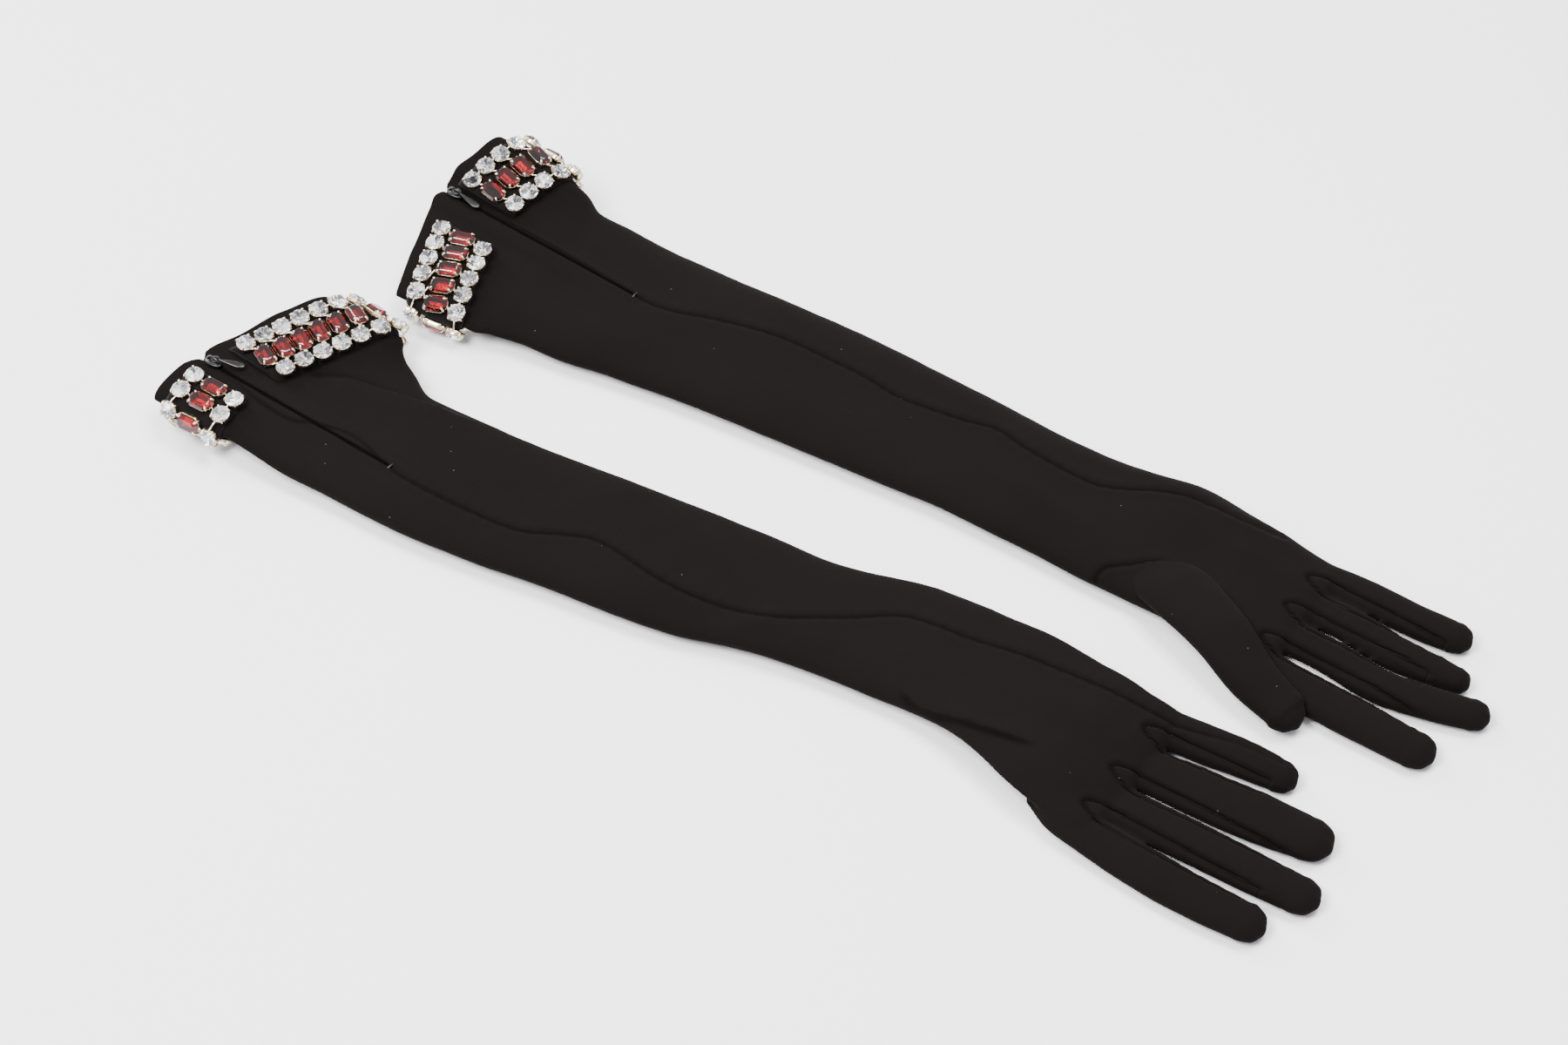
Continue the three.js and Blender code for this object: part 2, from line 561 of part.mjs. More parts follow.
// The frame's origin is at the middle of the pair's footprint, on the surface it lies on.
const extent = new THREE.Box3().setFromObject(pair);
const middle = extent.getCenter(new THREE.Vector3());
pair.position.set(-middle.x, -middle.y, -extent.min.z);

export default pair;
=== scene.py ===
# %% [markdown]
# # A pair of jewelled evening gloves
# Long gloves of this kind are sewn from matte stretch jersey. Each has one long seam, a zip at the top
# of that seam, and a stiffened band of glass stones round the cuff. This notebook builds the cloth first,
# then the bands, the stones in their metal settings, and the zips, around a fixed CAD frame.

import json
import math

import bmesh
import bpy
import numpy as np
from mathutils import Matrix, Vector, noise

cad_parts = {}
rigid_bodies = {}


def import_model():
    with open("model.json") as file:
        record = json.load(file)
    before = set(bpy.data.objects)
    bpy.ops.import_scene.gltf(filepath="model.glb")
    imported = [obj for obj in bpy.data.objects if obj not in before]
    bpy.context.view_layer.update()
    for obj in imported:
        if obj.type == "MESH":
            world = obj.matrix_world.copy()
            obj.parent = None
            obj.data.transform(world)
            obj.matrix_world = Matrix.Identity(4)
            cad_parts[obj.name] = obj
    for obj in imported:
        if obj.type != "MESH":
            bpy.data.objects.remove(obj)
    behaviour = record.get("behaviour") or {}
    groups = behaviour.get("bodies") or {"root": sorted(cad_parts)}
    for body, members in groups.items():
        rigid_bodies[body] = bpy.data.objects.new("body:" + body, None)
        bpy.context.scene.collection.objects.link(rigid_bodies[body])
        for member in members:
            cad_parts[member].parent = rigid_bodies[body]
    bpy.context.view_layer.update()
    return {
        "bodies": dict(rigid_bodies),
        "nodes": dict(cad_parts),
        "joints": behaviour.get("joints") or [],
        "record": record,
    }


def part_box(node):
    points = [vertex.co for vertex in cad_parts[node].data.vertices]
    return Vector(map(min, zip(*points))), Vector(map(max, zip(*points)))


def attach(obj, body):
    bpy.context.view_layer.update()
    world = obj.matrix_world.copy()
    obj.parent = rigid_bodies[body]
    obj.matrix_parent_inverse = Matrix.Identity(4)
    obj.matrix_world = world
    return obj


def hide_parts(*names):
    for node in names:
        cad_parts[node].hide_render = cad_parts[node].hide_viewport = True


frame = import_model()
MM = 0.001

# %% [markdown]
# The camera comes first, so that every later step can be looked at. It stands in front of the gloves,
# a little to the fingertip side, and looks down at 45 degrees through a long lens, as a product
# photographer would to keep both gloves free of distortion.

# %% Camera
CAMERA_TURN = math.radians(34)
CAMERA_RISE = math.radians(45)
CAMERA_DISTANCE = 1.5
CAMERA_LENS = 85.2
LOOK_AT = Vector((-0.0185, -0.0044, 0.0))

camera = bpy.data.objects.new("camera", bpy.data.cameras.new("camera"))
bpy.context.collection.objects.link(camera)
toward_camera = Vector((
    math.sin(CAMERA_TURN) * math.cos(CAMERA_RISE),
    -math.cos(CAMERA_TURN) * math.cos(CAMERA_RISE),
    math.sin(CAMERA_RISE),
))
camera.location = LOOK_AT + toward_camera * CAMERA_DISTANCE
camera.rotation_mode = "QUATERNION"
camera.rotation_quaternion = (-toward_camera).to_track_quat("-Z", "Y")
camera.data.lens = CAMERA_LENS
camera.data.clip_end = 10
bpy.context.scene.camera = camera
print("camera at", [round(c, 3) for c in camera.location])

# %% [markdown]
# Colours are written as the sRGB hex values that a painter's eye would match, and one function turns
# them into the linear values that the renderer works in. One more function adds a shader node with its
# settings and its links, and every material is built with it.

# %% Colour and node helpers
def linear(hex_colour):
    parts = [int(hex_colour[i:i + 2], 16) / 255 for i in (1, 3, 5)]
    return tuple(c / 12.92 if c <= 0.04045 else ((c + 0.055) / 1.055) ** 2.4 for c in parts) + (1.0,)


def add(tree, kind, settings=None, **links):
    """Adds a node. Settings are its properties, or its inputs by name or number. Links feed inputs."""
    node = tree.nodes.new(kind)
    for name, value in (settings or {}).items():
        if isinstance(name, int) or name in node.inputs:
            node.inputs[name].default_value = value
        else:
            setattr(node, name, value)
    for name, socket in links.items():
        spaced = name.replace("_", " ").strip()
        tree.links.new(socket, node.inputs[int(spaced)] if spaced.isdigit() else node.inputs[spaced])
    return node


def new_material(name):
    material = bpy.data.materials.new(name)
    material.use_nodes = True
    tree = material.node_tree
    tree.nodes.clear()
    output = tree.nodes.new("ShaderNodeOutputMaterial")
    return material, tree, output

# %% [markdown]
# The floor is a pale paper sweep. The light is one big soft box high on the camera's side, with a weaker
# one behind, and a pale grey sky. Big lights keep the shadows soft and give the stones something
# broad to reflect.

# %% Floor and light
floor_mesh = bpy.data.meshes.new("paper_floor")
floor_mesh.from_pydata([(-4, -4, 0), (4, -4, 0), (4, 4, 0), (-4, 4, 0)], [], [(0, 1, 2, 3)])
floor = bpy.data.objects.new("paper_floor", floor_mesh)
bpy.context.collection.objects.link(floor)
floor.location.z = -0.0002


def paper_sweep():
    """Matte white background paper: no gloss, and a very slight mottle."""
    material, tree, output = new_material("paper_sweep")
    where = add(tree, "ShaderNodeTexCoord")
    mottle = add(tree, "ShaderNodeTexNoise", {"Scale": 3.0, "Detail": 2.0}, Vector=where.outputs["Object"])
    ramp = add(tree, "ShaderNodeValToRGB", Fac=mottle.outputs["Fac"])
    ramp.color_ramp.elements[0].color = linear("#eceaec")
    ramp.color_ramp.elements[1].color = linear("#f1eff1")
    shader = add(tree, "ShaderNodeBsdfPrincipled", {"Roughness": 0.9, "Specular IOR Level": 0.1},
                 Base_Color=ramp.outputs["Color"])
    tree.links.new(shader.outputs["BSDF"], output.inputs["Surface"])
    return material


floor_mesh.materials.append(paper_sweep())


def soft_box(name, place, aim, size, power):
    light = bpy.data.lights.new(name, "AREA")
    light.shape = "RECTANGLE"
    light.size, light.size_y = size
    light.energy = power
    lamp = bpy.data.objects.new(name, light)
    bpy.context.collection.objects.link(lamp)
    lamp.location = place
    lamp.rotation_mode = "QUATERNION"
    lamp.rotation_quaternion = (Vector(aim) - Vector(place)).to_track_quat("-Z", "Y")
    return lamp


soft_box("key_box", (-0.35, -1.1, 1.7), (0, 0, 0), (0.9, 0.9), 95)
soft_box("top_box", (0.3, 0.5, 1.8), (0, 0, 0), (1.2, 0.8), 52)
soft_box("side_strip", (-1.3, 0.2, 0.8), (-0.1, 0, 0), (0.25, 1.0), 20)
world = bpy.data.worlds.new("studio")
world.use_nodes = True
world.node_tree.nodes["Background"].inputs["Color"].default_value = linear("#f2f2f6")
world.node_tree.nodes["Background"].inputs["Strength"].default_value = 1.3
bpy.context.scene.world = world

# %% [markdown]
# ## Materials of the cloth
# The gloves are a fine matte stretch jersey, knitted and then dyed black. A knit like this scatters
# light from its loops and has almost no shine, with a faint sheen at a low angle and a few pale specks of
# lint. Its ribs are 0.35 mm apart: they are drawn about 0.7 mm apart, because finer ones can't show.

# %% Stretch jersey
KNIT_RIB = 0.7 * MM
LINT_SPACING = 9 * MM


def stretch_jersey(name, base, light):
    material, tree, output = new_material(name)
    where = add(tree, "ShaderNodeTexCoord").outputs["Object"]
    ribs = add(tree, "ShaderNodeTexWave", {
        "Scale": 1 / KNIT_RIB / 20 * math.pi, "Distortion": 2.0, "Detail": 2.0, "Detail Scale": 3.0,
        "wave_type": "BANDS", "bands_direction": "Y",
    }, Vector=where)
    fuzz = add(tree, "ShaderNodeTexNoise", {"Scale": 1 / (0.9 * MM), "Detail": 4.0}, Vector=where)
    cloudy = add(tree, "ShaderNodeTexNoise", {"Scale": 1 / (45 * MM), "Detail": 3.0}, Vector=where)
    tone = add(tree, "ShaderNodeMix", {"data_type": "RGBA", "A": linear(base), "B": linear(light)},
               Factor=cloudy.outputs["Fac"])
    cells = add(tree, "ShaderNodeTexVoronoi", {"Scale": 1 / LINT_SPACING, "Randomness": 1.0}, Vector=where)
    near_speck = add(tree, "ShaderNodeMath", {"operation": "LESS_THAN", 1: 0.035},
                     _0=cells.outputs["Distance"])
    chosen = add(tree, "ShaderNodeSeparateColor", Color=cells.outputs["Color"])
    some = add(tree, "ShaderNodeMath", {"operation": "GREATER_THAN", 1: 0.55}, _0=chosen.outputs[0])
    speck = add(tree, "ShaderNodeMath", {"operation": "MULTIPLY"},
                _0=near_speck.outputs[0], _1=some.outputs[0])
    colour = add(tree, "ShaderNodeMix", {"data_type": "RGBA", "B": linear("#3a3536")},
                 Factor=speck.outputs[0], A=tone.outputs["Result"])
    weave = add(tree, "ShaderNodeMath", {"operation": "ADD"}, _0=ribs.outputs["Fac"], _1=fuzz.outputs["Fac"])
    bump = add(tree, "ShaderNodeBump", {"Strength": 0.35, "Distance": 0.12 * MM}, Height=weave.outputs[0])
    # Painted shade: this attribute darkens the colour towards near black in seam grooves and at the foot of
    # folds, where shadow falls.
    painted_crease_shade = add(tree, "ShaderNodeAttribute", {"attribute_name": "painted_crease_shade"})
    shaded = add(tree, "ShaderNodeMix", {"data_type": "RGBA", "B": linear("#020101")},
                 Factor=painted_crease_shade.outputs["Fac"], A=colour.outputs["Result"])
    shader = add(tree, "ShaderNodeBsdfPrincipled", {
        "Roughness": 0.95, "Specular IOR Level": 0.05, "Sheen Weight": 0.03, "Sheen Roughness": 0.5,
        "Sheen Tint": linear("#8d8587"),
    }, Base_Color=shaded.outputs["Result"], Normal=bump.outputs["Normal"])
    tree.links.new(shader.outputs["BSDF"], output.inputs["Surface"])
    return material


jersey = stretch_jersey("stretch_jersey", "#0a0707", "#0f0b0b")
print("knit rib drawn every", KNIT_RIB / MM, "mm")

# %% [markdown]
# ## The shape of the gloves
# An empty jersey glove lying on a table is a flat tube with soft folded edges. It could be draped by a
# cloth simulation, but the folds that give a real pair its look are few and known, so they are shaped
# directly. A station is one flattened section of a tube: its middle, its heading, its half width, the
# height of its underside and the heights of its upper side from one edge to the other, in millimetres
# on the table. The frame says where that table's origin lies.

# %% Stations
GAP = 0.3
BAND_WIDTH = 32
BAND_THICKNESS = 2
HEM = 6
ROW_SPACING = 11
ZIP_LENGTH = 100
FINGER_HEIGHT = 9.4
EDGE_ROUND = 7


def station(x, y, heading, half, bottom, tops):
    return [x, y, heading, half, bottom] + (list(tops) if hasattr(tops, "__len__") else [tops] * 5)


def cuff_stations(x, y, heading, half, rise):
    offsets = [-BAND_WIDTH / 2 - HEM, -ROW_SPACING, 0, ROW_SPACING, BAND_WIDTH / 2 + 1]
    return [station(x + offset, y, heading, half, 7, tops) for offset, tops in zip(offsets, rise)]


GLOVES = {
    "left": {
        "flare": 0.26,
        "cuff": cuff_stations(-221.5, -54, -12.8, 43.5, [
            [18, 17.5, 18, 22.5, 26], [16.5, 16.6, 17.2, 21, 24], [15.5, 15.8, 16.4, 19.5, 22.5],
            [14.8, 15, 15.6, 18, 21], [14.5, 14.7, 15, 17, 19.5],
        ]),
        "sleeve": [
            station(-190, -56, -8, 41.5, 4.5, [14.2, 14.5, 14.6, 15.4, 16]),
            station(-174, -59, -4, 38.5, 1.5, [14, 14.2, 14.1, 14.2, 13.6]),
            station(-154, -62.5, 0, 34, 0, 14), station(-120, -62, 0, 34.5, 0, 14),
            station(-60, -56, 3, 33.5, 0, 14), station(0, -49, 4, 32.5, 0, 13.8),
            station(40, -42, 4, 28, 0, 13.8), station(80, -35, 2, 31, 0, 13.8),
            station(105, -33.5, -2, 31, 1.5, 14.4), station(130, -36, -3, 32.5, 6.8, 16),
            station(160, -42, -2, 36, 6.8, 16), station(180, -44.5, 0, 37.5, 4, 13.5),
            station(190, -45, 0, 38.5, 0.6, 10.5),
        ],
        "fingers": [
            [station(178, -76, -4, 8.6, 1.6, 10.4), station(206, -79.2, -3, 9.4, 0, FINGER_HEIGHT),
             station(240, -81.3, 0, 9.6, 0, FINGER_HEIGHT), station(266, -80.5, 3, 8.8, 0, 9)],
            [station(178, -59, 0, 8.6, 1.6, 10.4), station(206, -59, 0, 9.4, 0, FINGER_HEIGHT),
             station(240, -59.3, 0, 9.6, 0, FINGER_HEIGHT), station(276.5, -58.7, 0, 9, 0, 9)],
            [station(178, -38, 0, 9, 1.6, 10.4), station(206, -36.6, 2, 11, 0, FINGER_HEIGHT),
             station(236, -34.7, 3, 12, 0, FINGER_HEIGHT), station(268, -33.2, 0, 10.5, 0, 9)],
            [station(178, -16.5, 4, 8.4, 1.6, 10), station(202, -13.8, 4, 9.4, 0, FINGER_HEIGHT),
             station(222, -12.3, 0, 9, 0, FINGER_HEIGHT), station(242, -12.3, -2, 7.8, 0, 9)],
        ],
        "thumb": [station(120, -48, 5, 9, 1, 5.2), station(140, -46, 8, 12, 0, 6.4),
                  station(164, -42, 8, 10, 0, 6.4), station(186, -39.5, 5, 9, 0, 5.4)],
        "gaps": {"index_middle": [(188, -69), (256, -70.4)], "middle_ring": [(188, -48.9), (258, -48.1)],
                 "ring_little": [(188, -24.8), (234, -21.8)]},
        "zip": [(-242, -70, 17.2), (-142, -74.5, 14.2)],
        "first_column": (13, 14),
        "columns": (4, 6),
    },
    "right": {
        "flare": 0.3,
        "cuff": cuff_stations(-201, 58.5, 2.2, 46, [
            [12, 17, 21.5, 31, 40], [12, 17, 20.5, 29, 37.5], [11.6, 16.8, 19.6, 27, 35],
            [11.6, 16.5, 18.8, 24, 30.5], [11.6, 16.2, 18.2, 22.5, 28],
        ]),
        "sleeve": [
            station(-163, 58.5, 4, 42.5, 4.5, [13.4, 15.8, 17.4, 19.5, 21]),
            station(-147, 61, 2, 41.5, 2, [13.8, 14.9, 16, 17, 17]),
            station(-127, 62, 0, 40.5, 0, [14, 14.2, 14.8, 15, 14.6]),
            station(-104, 64.5, 0, 39, 0, 14), station(-70, 66.5, 0, 37.5, 0, 14),
            station(-20, 68.5, 0, 36, 0, 13.8), station(40, 68.5, 0, 32.5, 0, 13.8),
            station(85, 67, 0, 31, 0, 13.8), station(115, 67, 0, 33, 0, 13.8),
            station(140, 69, 0, 35, 0, 13.8), station(165, 67, 0, 34, 0, 13.6),
            station(190, 61, -2, 36, 0, 12), station(203, 58.5, -2, 37.5, 0.6, 10.2),
        ],
        "fingers": [
            [station(190, 33, -2, 8.6, 1.6, 10.2), station(216, 31.5, -2, 9.4, 0, FINGER_HEIGHT),
             station(245, 29.6, -3, 9.5, 0, FINGER_HEIGHT), station(279, 28.5, 0, 9, 0, 9)],
            [station(190, 54, 0, 8.4, 1.6, 10.2), station(216, 53.4, -6, 8.6, 0, FINGER_HEIGHT),
             station(245, 49.9, 0, 8.3, 0, FINGER_HEIGHT), station(268, 53.3, 12, 8, 0, FINGER_HEIGHT),
             station(287.5, 58.2, 14, 7.6, 0, 9)],
            [station(190, 72, 0, 8.4, 1.6, 10.2), station(216, 72.2, 0, 8.5, 0, FINGER_HEIGHT),
             station(245, 68.6, -4, 8.4, 0, FINGER_HEIGHT), station(273, 69.6, 2, 5.8, 0, 9)],
            [station(190, 88, 0, 7.6, 1.6, 10), station(216, 89.8, 0, 8, 0, FINGER_HEIGHT),
             station(240, 88.7, 0, 8.1, 0, FINGER_HEIGHT), station(264, 89.5, 0, 7.6, 0, 9)],
        ],
        "thumb": [station(138, 52, -15, 12, 4, 12.5), station(160, 44, -23, 14.5, 7, 17.5),
                  station(182, 34, -25, 13, 7, 18.5), station(204, 22, -24, 11, 3.5, 15.5),
                  station(229, 13.5, -12, 8.8, 2, 12)],
        "gaps": {"index_middle": [(201, 43.4), (264, 40)], "middle_ring": [(201, 63), (258, 60.2)],
                 "ring_little": [(201, 81.2), (256, 79)]},
        "zip": [(-220, 66, 24.4), (-120, 65.2, 15)],
        "first_column": (20, 9.5),
        "columns": (6, 4),
    },
}


def zip_frame(glove):
    start, end = (np.array(p, float) for p in glove["zip"])
    along = (end - start) / np.linalg.norm(end - start)
    side = np.cross([0, 0, 1], along)
    side /= np.linalg.norm(side)
    return start, along, side, np.cross(along, side)


def table_origin():
    """Where the stations' origin lies in the row frame, in mm, from where the left zip's stop is."""
    low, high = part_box("left_zip_bottom_stop")
    start, along, _, _ = zip_frame(GLOVES["left"])
    return np.array((low + high) / 2) / MM - (start + along * (ZIP_LENGTH + GAP / 2 + 1.3))


ORIGIN = table_origin()
print("table origin in the row frame, mm:", [round(float(c), 2) for c in ORIGIN])

# %% [markdown]
# Between the stations the tube runs on smoothly. A monotone cubic does that without overshooting, so the
# sleeve's edges keep the gentle curves of a worn glove and don't grow bumps at the stations.

# %% Smooth tubes
def smooth_run(stations, step):
    """More stations, one every step mm, on a monotone cubic through the given ones."""
    table = np.array(stations, float)
    t = np.concatenate([[0], np.cumsum(np.linalg.norm(np.diff(table[:, :2], axis=0), axis=1))])
    h = np.diff(t)[:, None]
    slope = np.diff(table, axis=0) / h
    inner = np.zeros_like(slope[1:])
    same = slope[1:] * slope[:-1] > 0
    inner[same] = (2 * slope[1:] * slope[:-1] / (slope[1:] + slope[:-1] + 1e-12))[same]
    tangent = np.vstack([slope[:1], inner, slope[-1:]])
    places = np.linspace(0, t[-1], max(2, int(t[-1] / step) + 1))
    i = np.clip(np.searchsorted(t, places, side="right") - 1, 0, len(h) - 1)
    f = ((places - t[i]) / h[i, 0])[:, None]
    return ((1 + 2 * f) * (1 - f) ** 2 * table[i] + f * (1 - f) ** 2 * h[i] * tangent[i]
            + f * f * (3 - 2 * f) * table[i + 1] + f * f * (f - 1) * h[i] * tangent[i + 1])


def heights(tops, u):
    place = np.clip(u, 0, 1) * 4
    low = np.minimum(place.astype(int), 3)
    f = place - low
    f = f * f * (3 - 2 * f)
    return tops[low] * (1 - f) + tops[low + 1] * f


def section(s, grow, steps):
    """The points round one station, from its right edge over the top and back underneath."""
    heading = math.radians(s[2])
    half = s[3] + grow
    v = -np.cos(np.pi * np.arange(steps + 1) / steps)
    top = heights(np.asarray(s[5:]), (v + 1) / 2) + grow
    bottom = s[4] - grow
    middle = (top + bottom) / 2
    square = np.maximum(2.2, 0.8 * half / np.minimum(top - middle, EDGE_ROUND))
    fall = np.sqrt(np.maximum(0, 1 - np.abs(v) ** square))
    x, y = s[0] - math.sin(heading) * v * half, s[1] + math.cos(heading) * v * half
    upper = np.stack([x, y, middle + (top - middle) * fall], 1)
    lower = np.stack([x, y, middle - (middle - bottom) * fall], 1)
    return np.vstack([upper, lower[-2:0:-1]])


FLARE_SOFT = 6
FLARE_FADE = 30


def flared(glove, points):
    """The cuff flares, so its flattened mouth is bent at the zip and both its halves run back from there."""
    inner = glove["cuff"][4][0]
    away = points[:, 1] - glove["zip"][0][1]
    back = glove["flare"] * (np.hypot(away, FLARE_SOFT) - FLARE_SOFT)
    f = np.clip((points[:, 0] - inner) / FLARE_FADE, 0, 1)
    bent = np.array(points, float)
    bent[:, 0] += back * (1 - f * f * (3 - 2 * f))
    return bent


def moved(s, distance):
    heading = math.radians(s[2])
    return [s[0] + math.cos(heading) * distance, s[1] + math.sin(heading) * distance] + list(s[2:])


FINGER_ROOT = 16


def with_tip(stations):
    """A finger's stations, from a narrow root inside the hand to a last one drawn in to a round tip."""
    last = stations[-1]
    start = moved(last, -last[3])
    cap = []
    for t in np.sin(np.linspace(0, math.pi / 2, 8)):
        width = max(0.12, math.sqrt(max(0, 1 - t ** 2.4)))
        squat = 1 - t ** 3
        cap.append([*moved(start, t * last[3])[:3], last[3] * width, last[4] + 2.2 * (1 - squat)]
                   + [last[5] - 3.2 * (1 - squat)] * 5)
    root = moved(stations[0], -FINGER_ROOT)
    root[3] *= 0.25
    root[4] += 3
    root[5:] = [top - 3 for top in root[5:]]
    body = smooth_run([root, *stations[:-1], start], 3)
    return [list(s) for s in body] + cap[1:]


def ring_faces(rings, count):
    """The quads that join each ring of points to the next."""
    return [(r * count + i, r * count + (i + 1) % count,
             (r + 1) * count + (i + 1) % count, (r + 1) * count + i)
            for r in range(rings - 1) for i in range(count)]


def tube(stations, steps, grow=0.0):
    """Vertices and faces of a closed tube."""
    rings = [section(s, grow, steps) for s in stations]
    count = len(rings[0])
    verts = [tuple(p) for ring in rings for p in ring]
    faces = ring_faces(len(rings), count)
    faces.append(tuple(range(count))[::-1])
    faces.append(tuple((len(rings) - 1) * count + i for i in range(count)))
    return verts, faces


def mesh_object(name, verts, faces, material=None, smooth=True):
    """A mesh object in the row frame, from millimetres on the table."""
    data = bpy.data.meshes.new(name)
    data.from_pydata([tuple((np.asarray(v, float) + ORIGIN) * MM) for v in verts], [], faces)
    data.validate()
    tidy = bmesh.new()
    tidy.from_mesh(data)
    bmesh.ops.recalc_face_normals(tidy, faces=tidy.faces)
    tidy.to_mesh(data)
    tidy.free()
    data.polygons.foreach_set("use_smooth", [smooth] * len(data.polygons))
    obj = bpy.data.objects.new(name, data)
    bpy.context.collection.objects.link(obj)
    if material:
        data.materials.append(material)
    return obj


def applied(obj):
    """Makes the object's mesh what its modifiers show, and takes them off."""
    bpy.context.view_layer.update()
    shown = obj.evaluated_get(bpy.context.evaluated_depsgraph_get())
    data = bpy.data.meshes.new_from_object(shown)
    obj.modifiers.clear()
    old, obj.data = obj.data, data
    bpy.data.meshes.remove(old)
    return obj


def coordinates(obj):
    flat = np.empty(len(obj.data.vertices) * 3, np.float32)
    obj.data.vertices.foreach_get("co", flat)
    normals = np.empty_like(flat)
    obj.data.vertices.foreach_get("normal", normals)
    return flat.reshape(-1, 3).astype(float) / MM - ORIGIN, normals.reshape(-1, 3).astype(float)


def set_coordinates(obj, points):
    obj.data.vertices.foreach_set("co", ((points + ORIGIN) * MM).astype(np.float32).ravel())
    obj.data.update()

# %% [markdown]
# Folds, seams and puckers are lines drawn on the table plan. Each moves the cloth along its own normal,
# most at the line and fading to nothing a few millimetres away, as pulling a thread would.

# %% Folds and seams
def line_distance(points, path):
    """Distance from each point to a path on the plan, the signed side, and how far along it, 0 to 1."""
    path = np.array(path, float)
    best = np.full(len(points), 1e9)
    sign = np.zeros(len(points))
    along = np.zeros(len(points))
    lengths = np.linalg.norm(np.diff(path, axis=0), axis=1)
    total, run = lengths.sum(), 0.0
    for a, b, length in zip(path[:-1], path[1:], lengths):
        d = (b - a) / length
        rel = points[:, :2] - a
        t = np.clip(rel @ d, 0, length)
        off = rel - t[:, None] * d
        gap = np.linalg.norm(off, axis=1)
        nearer = gap < best
        best[nearer] = gap[nearer]
        sign[nearer] = np.sign(d[0] * rel[:, 1] - d[1] * rel[:, 0])[nearer]
        along[nearer] = ((run + t) / total)[nearer]
        run += length
    return best, sign, along


def fold(points, normals, path, height, width, side=0.0, fade=0.15, upper=True):
    """How far a fold moves each point along its normal. With side set it falls away on one side only."""
    gap, sign, along = line_distance(points, path)
    reach = np.where(sign * side < 0, width * 0.2, width) if side else width
    lift = height * np.exp(-((gap / reach) ** 2))
    ends = np.clip(np.minimum(along, 1 - along) / fade, 0, 1) if fade else 1.0
    face = np.clip(normals[:, 2] * (1 if upper else -1) * 3, 0, 1)
    return lift * ends * face


def curve_through(points, step=1.5):
    """A smooth path through given points, on a Catmull-Rom spline."""
    p = np.array(points, float)
    p = np.vstack([2 * p[0] - p[1], p, 2 * p[-1] - p[-2]])
    out = []
    for i in range(1, len(p) - 2):
        n = max(2, int(np.linalg.norm(p[i + 1] - p[i]) / step))
        for t in np.arange(n) / n:
            out.append(0.5 * ((2 * p[i]) + (p[i + 1] - p[i - 1]) * t
                              + (2 * p[i - 1] - 5 * p[i] + 4 * p[i + 1] - p[i + 2]) * t * t
                              + (3 * p[i] - p[i - 1] - 3 * p[i + 1] + p[i + 2]) * t ** 3))
    out.append(p[-2])
    return np.array(out)


SEAM_DEPTH = 0.6
SEAM_WIDTH = 1.3
OUTSEAM = {
    "left": [(-243, -70), (-222, -73), (-207, -76), (-191, -76.8), (-181, -73), (-167, -69.5), (-155, -71),
             (-145, -74.5), (-125, -77), (-95, -76.5), (-75, -74), (-60, -66.5), (-45, -61.8), (-15, -65),
             (5, -64.5), (20, -62), (35, -57), (47, -49), (60, -40), (74, -29.5), (85, -26), (104, -24.5),
             (124, -22), (146, -20), (182, -17), (204, -12.5), (216, -9.5), (234, -8.5)],
    "right": [(-217, 70), (-207, 68), (-191, 67.2), (-172, 67.3), (-153, 66.6), (-134, 65.6), (-115, 65.1),
              (-100, 67), (-85, 72), (-70, 76), (-50, 79), (-15, 78.6), (8, 75.9), (35, 78.7), (51, 82),
              (68, 78.8), (95, 76.7), (106, 78.5), (115, 83), (125, 88.6), (138, 92.5), (160, 93), (178, 94.5)],
}
THUMB_SEAM = {
    "right": [(131, 30), (127.5, 32.5), (126, 36), (128, 40.5), (134.5, 45.5), (143, 52.5), (151, 52.8),
              (160, 50.5), (168, 51.5), (178, 50.5)],
}


def fourchette_seam(gap, width=4.6, nose=5.5):
    """The seam round one strip between two fingers: up one side, round the crotch and back."""
    (x0, y0), (x1, y1) = gap
    along = np.array([x1 - x0, y1 - y0]) / math.hypot(x1 - x0, y1 - y0)
    side = np.array([-along[1], along[0]])
    start, end = np.array([x0, y0]), np.array([x1, y1])
    return curve_through([
        end + side * width * 0.8, start + along * 18 + side * width, start + along * 4 + side * width * 0.95,
        start - along * nose * 0.55 + side * width * 0.55, start - along * nose,
        start - along * nose * 0.55 - side * width * 0.55, start + along * 4 - side * width * 0.95,
        start + along * 18 - side * width, end - side * width * 0.8,
    ])


FOLDS = {
    "left": [
        # path, height, width, side that keeps its height, fade
        ([(-204, -54), (-196, -51), (-185, -46.5), (-170, -43), (-150, -38), (-128, -34)], 2.6, 11, -1, 0.25),
        ([(-190, -88), (-150, -87), (-100, -84)], 0.7, 8, 0, 0.3),
        ([(-40, -30), (-10, -38), (20, -45), (45, -48)], 0.9, 8, 0, 0.3),
        ([(15, -73), (30, -64), (40, -52)], 0.9, 5, 0, 0.3),
        ([(95, -60), (108, -63), (122, -63), (140, -61), (155, -58)], 1.5, 6, 1, 0.2),
        ([(150, -76), (165, -75), (180, -71), (193, -58)], -1.2, 6, 0, 0.25),
        ([(60, -14), (90, -8), (120, -10)], 0.6, 7, 0, 0.3),
        ([(150, -44), (170, -46), (192, -49)], -0.7, 6, 0, 0.3),
    ],
    "right": [
        ([(-172, 28), (-150, 33), (-120, 37), (-90, 40)], 0.8, 8, 0, 0.3),
        ([(-60, 46), (-20, 50), (20, 52)], 0.6, 9, 0, 0.3),
        ([(60, 62), (85, 58), (110, 52), (126, 42)], 1.1, 6, 0, 0.3),
        ([(150, 70), (175, 69), (200, 63)], -0.8, 7, 0, 0.3),
        ([(150, 84), (175, 84), (200, 82)], -0.6, 6, 0, 0.3),
        ([(100, 90), (125, 97), (150, 99)], 0.7, 5, 0, 0.3),
    ],
}
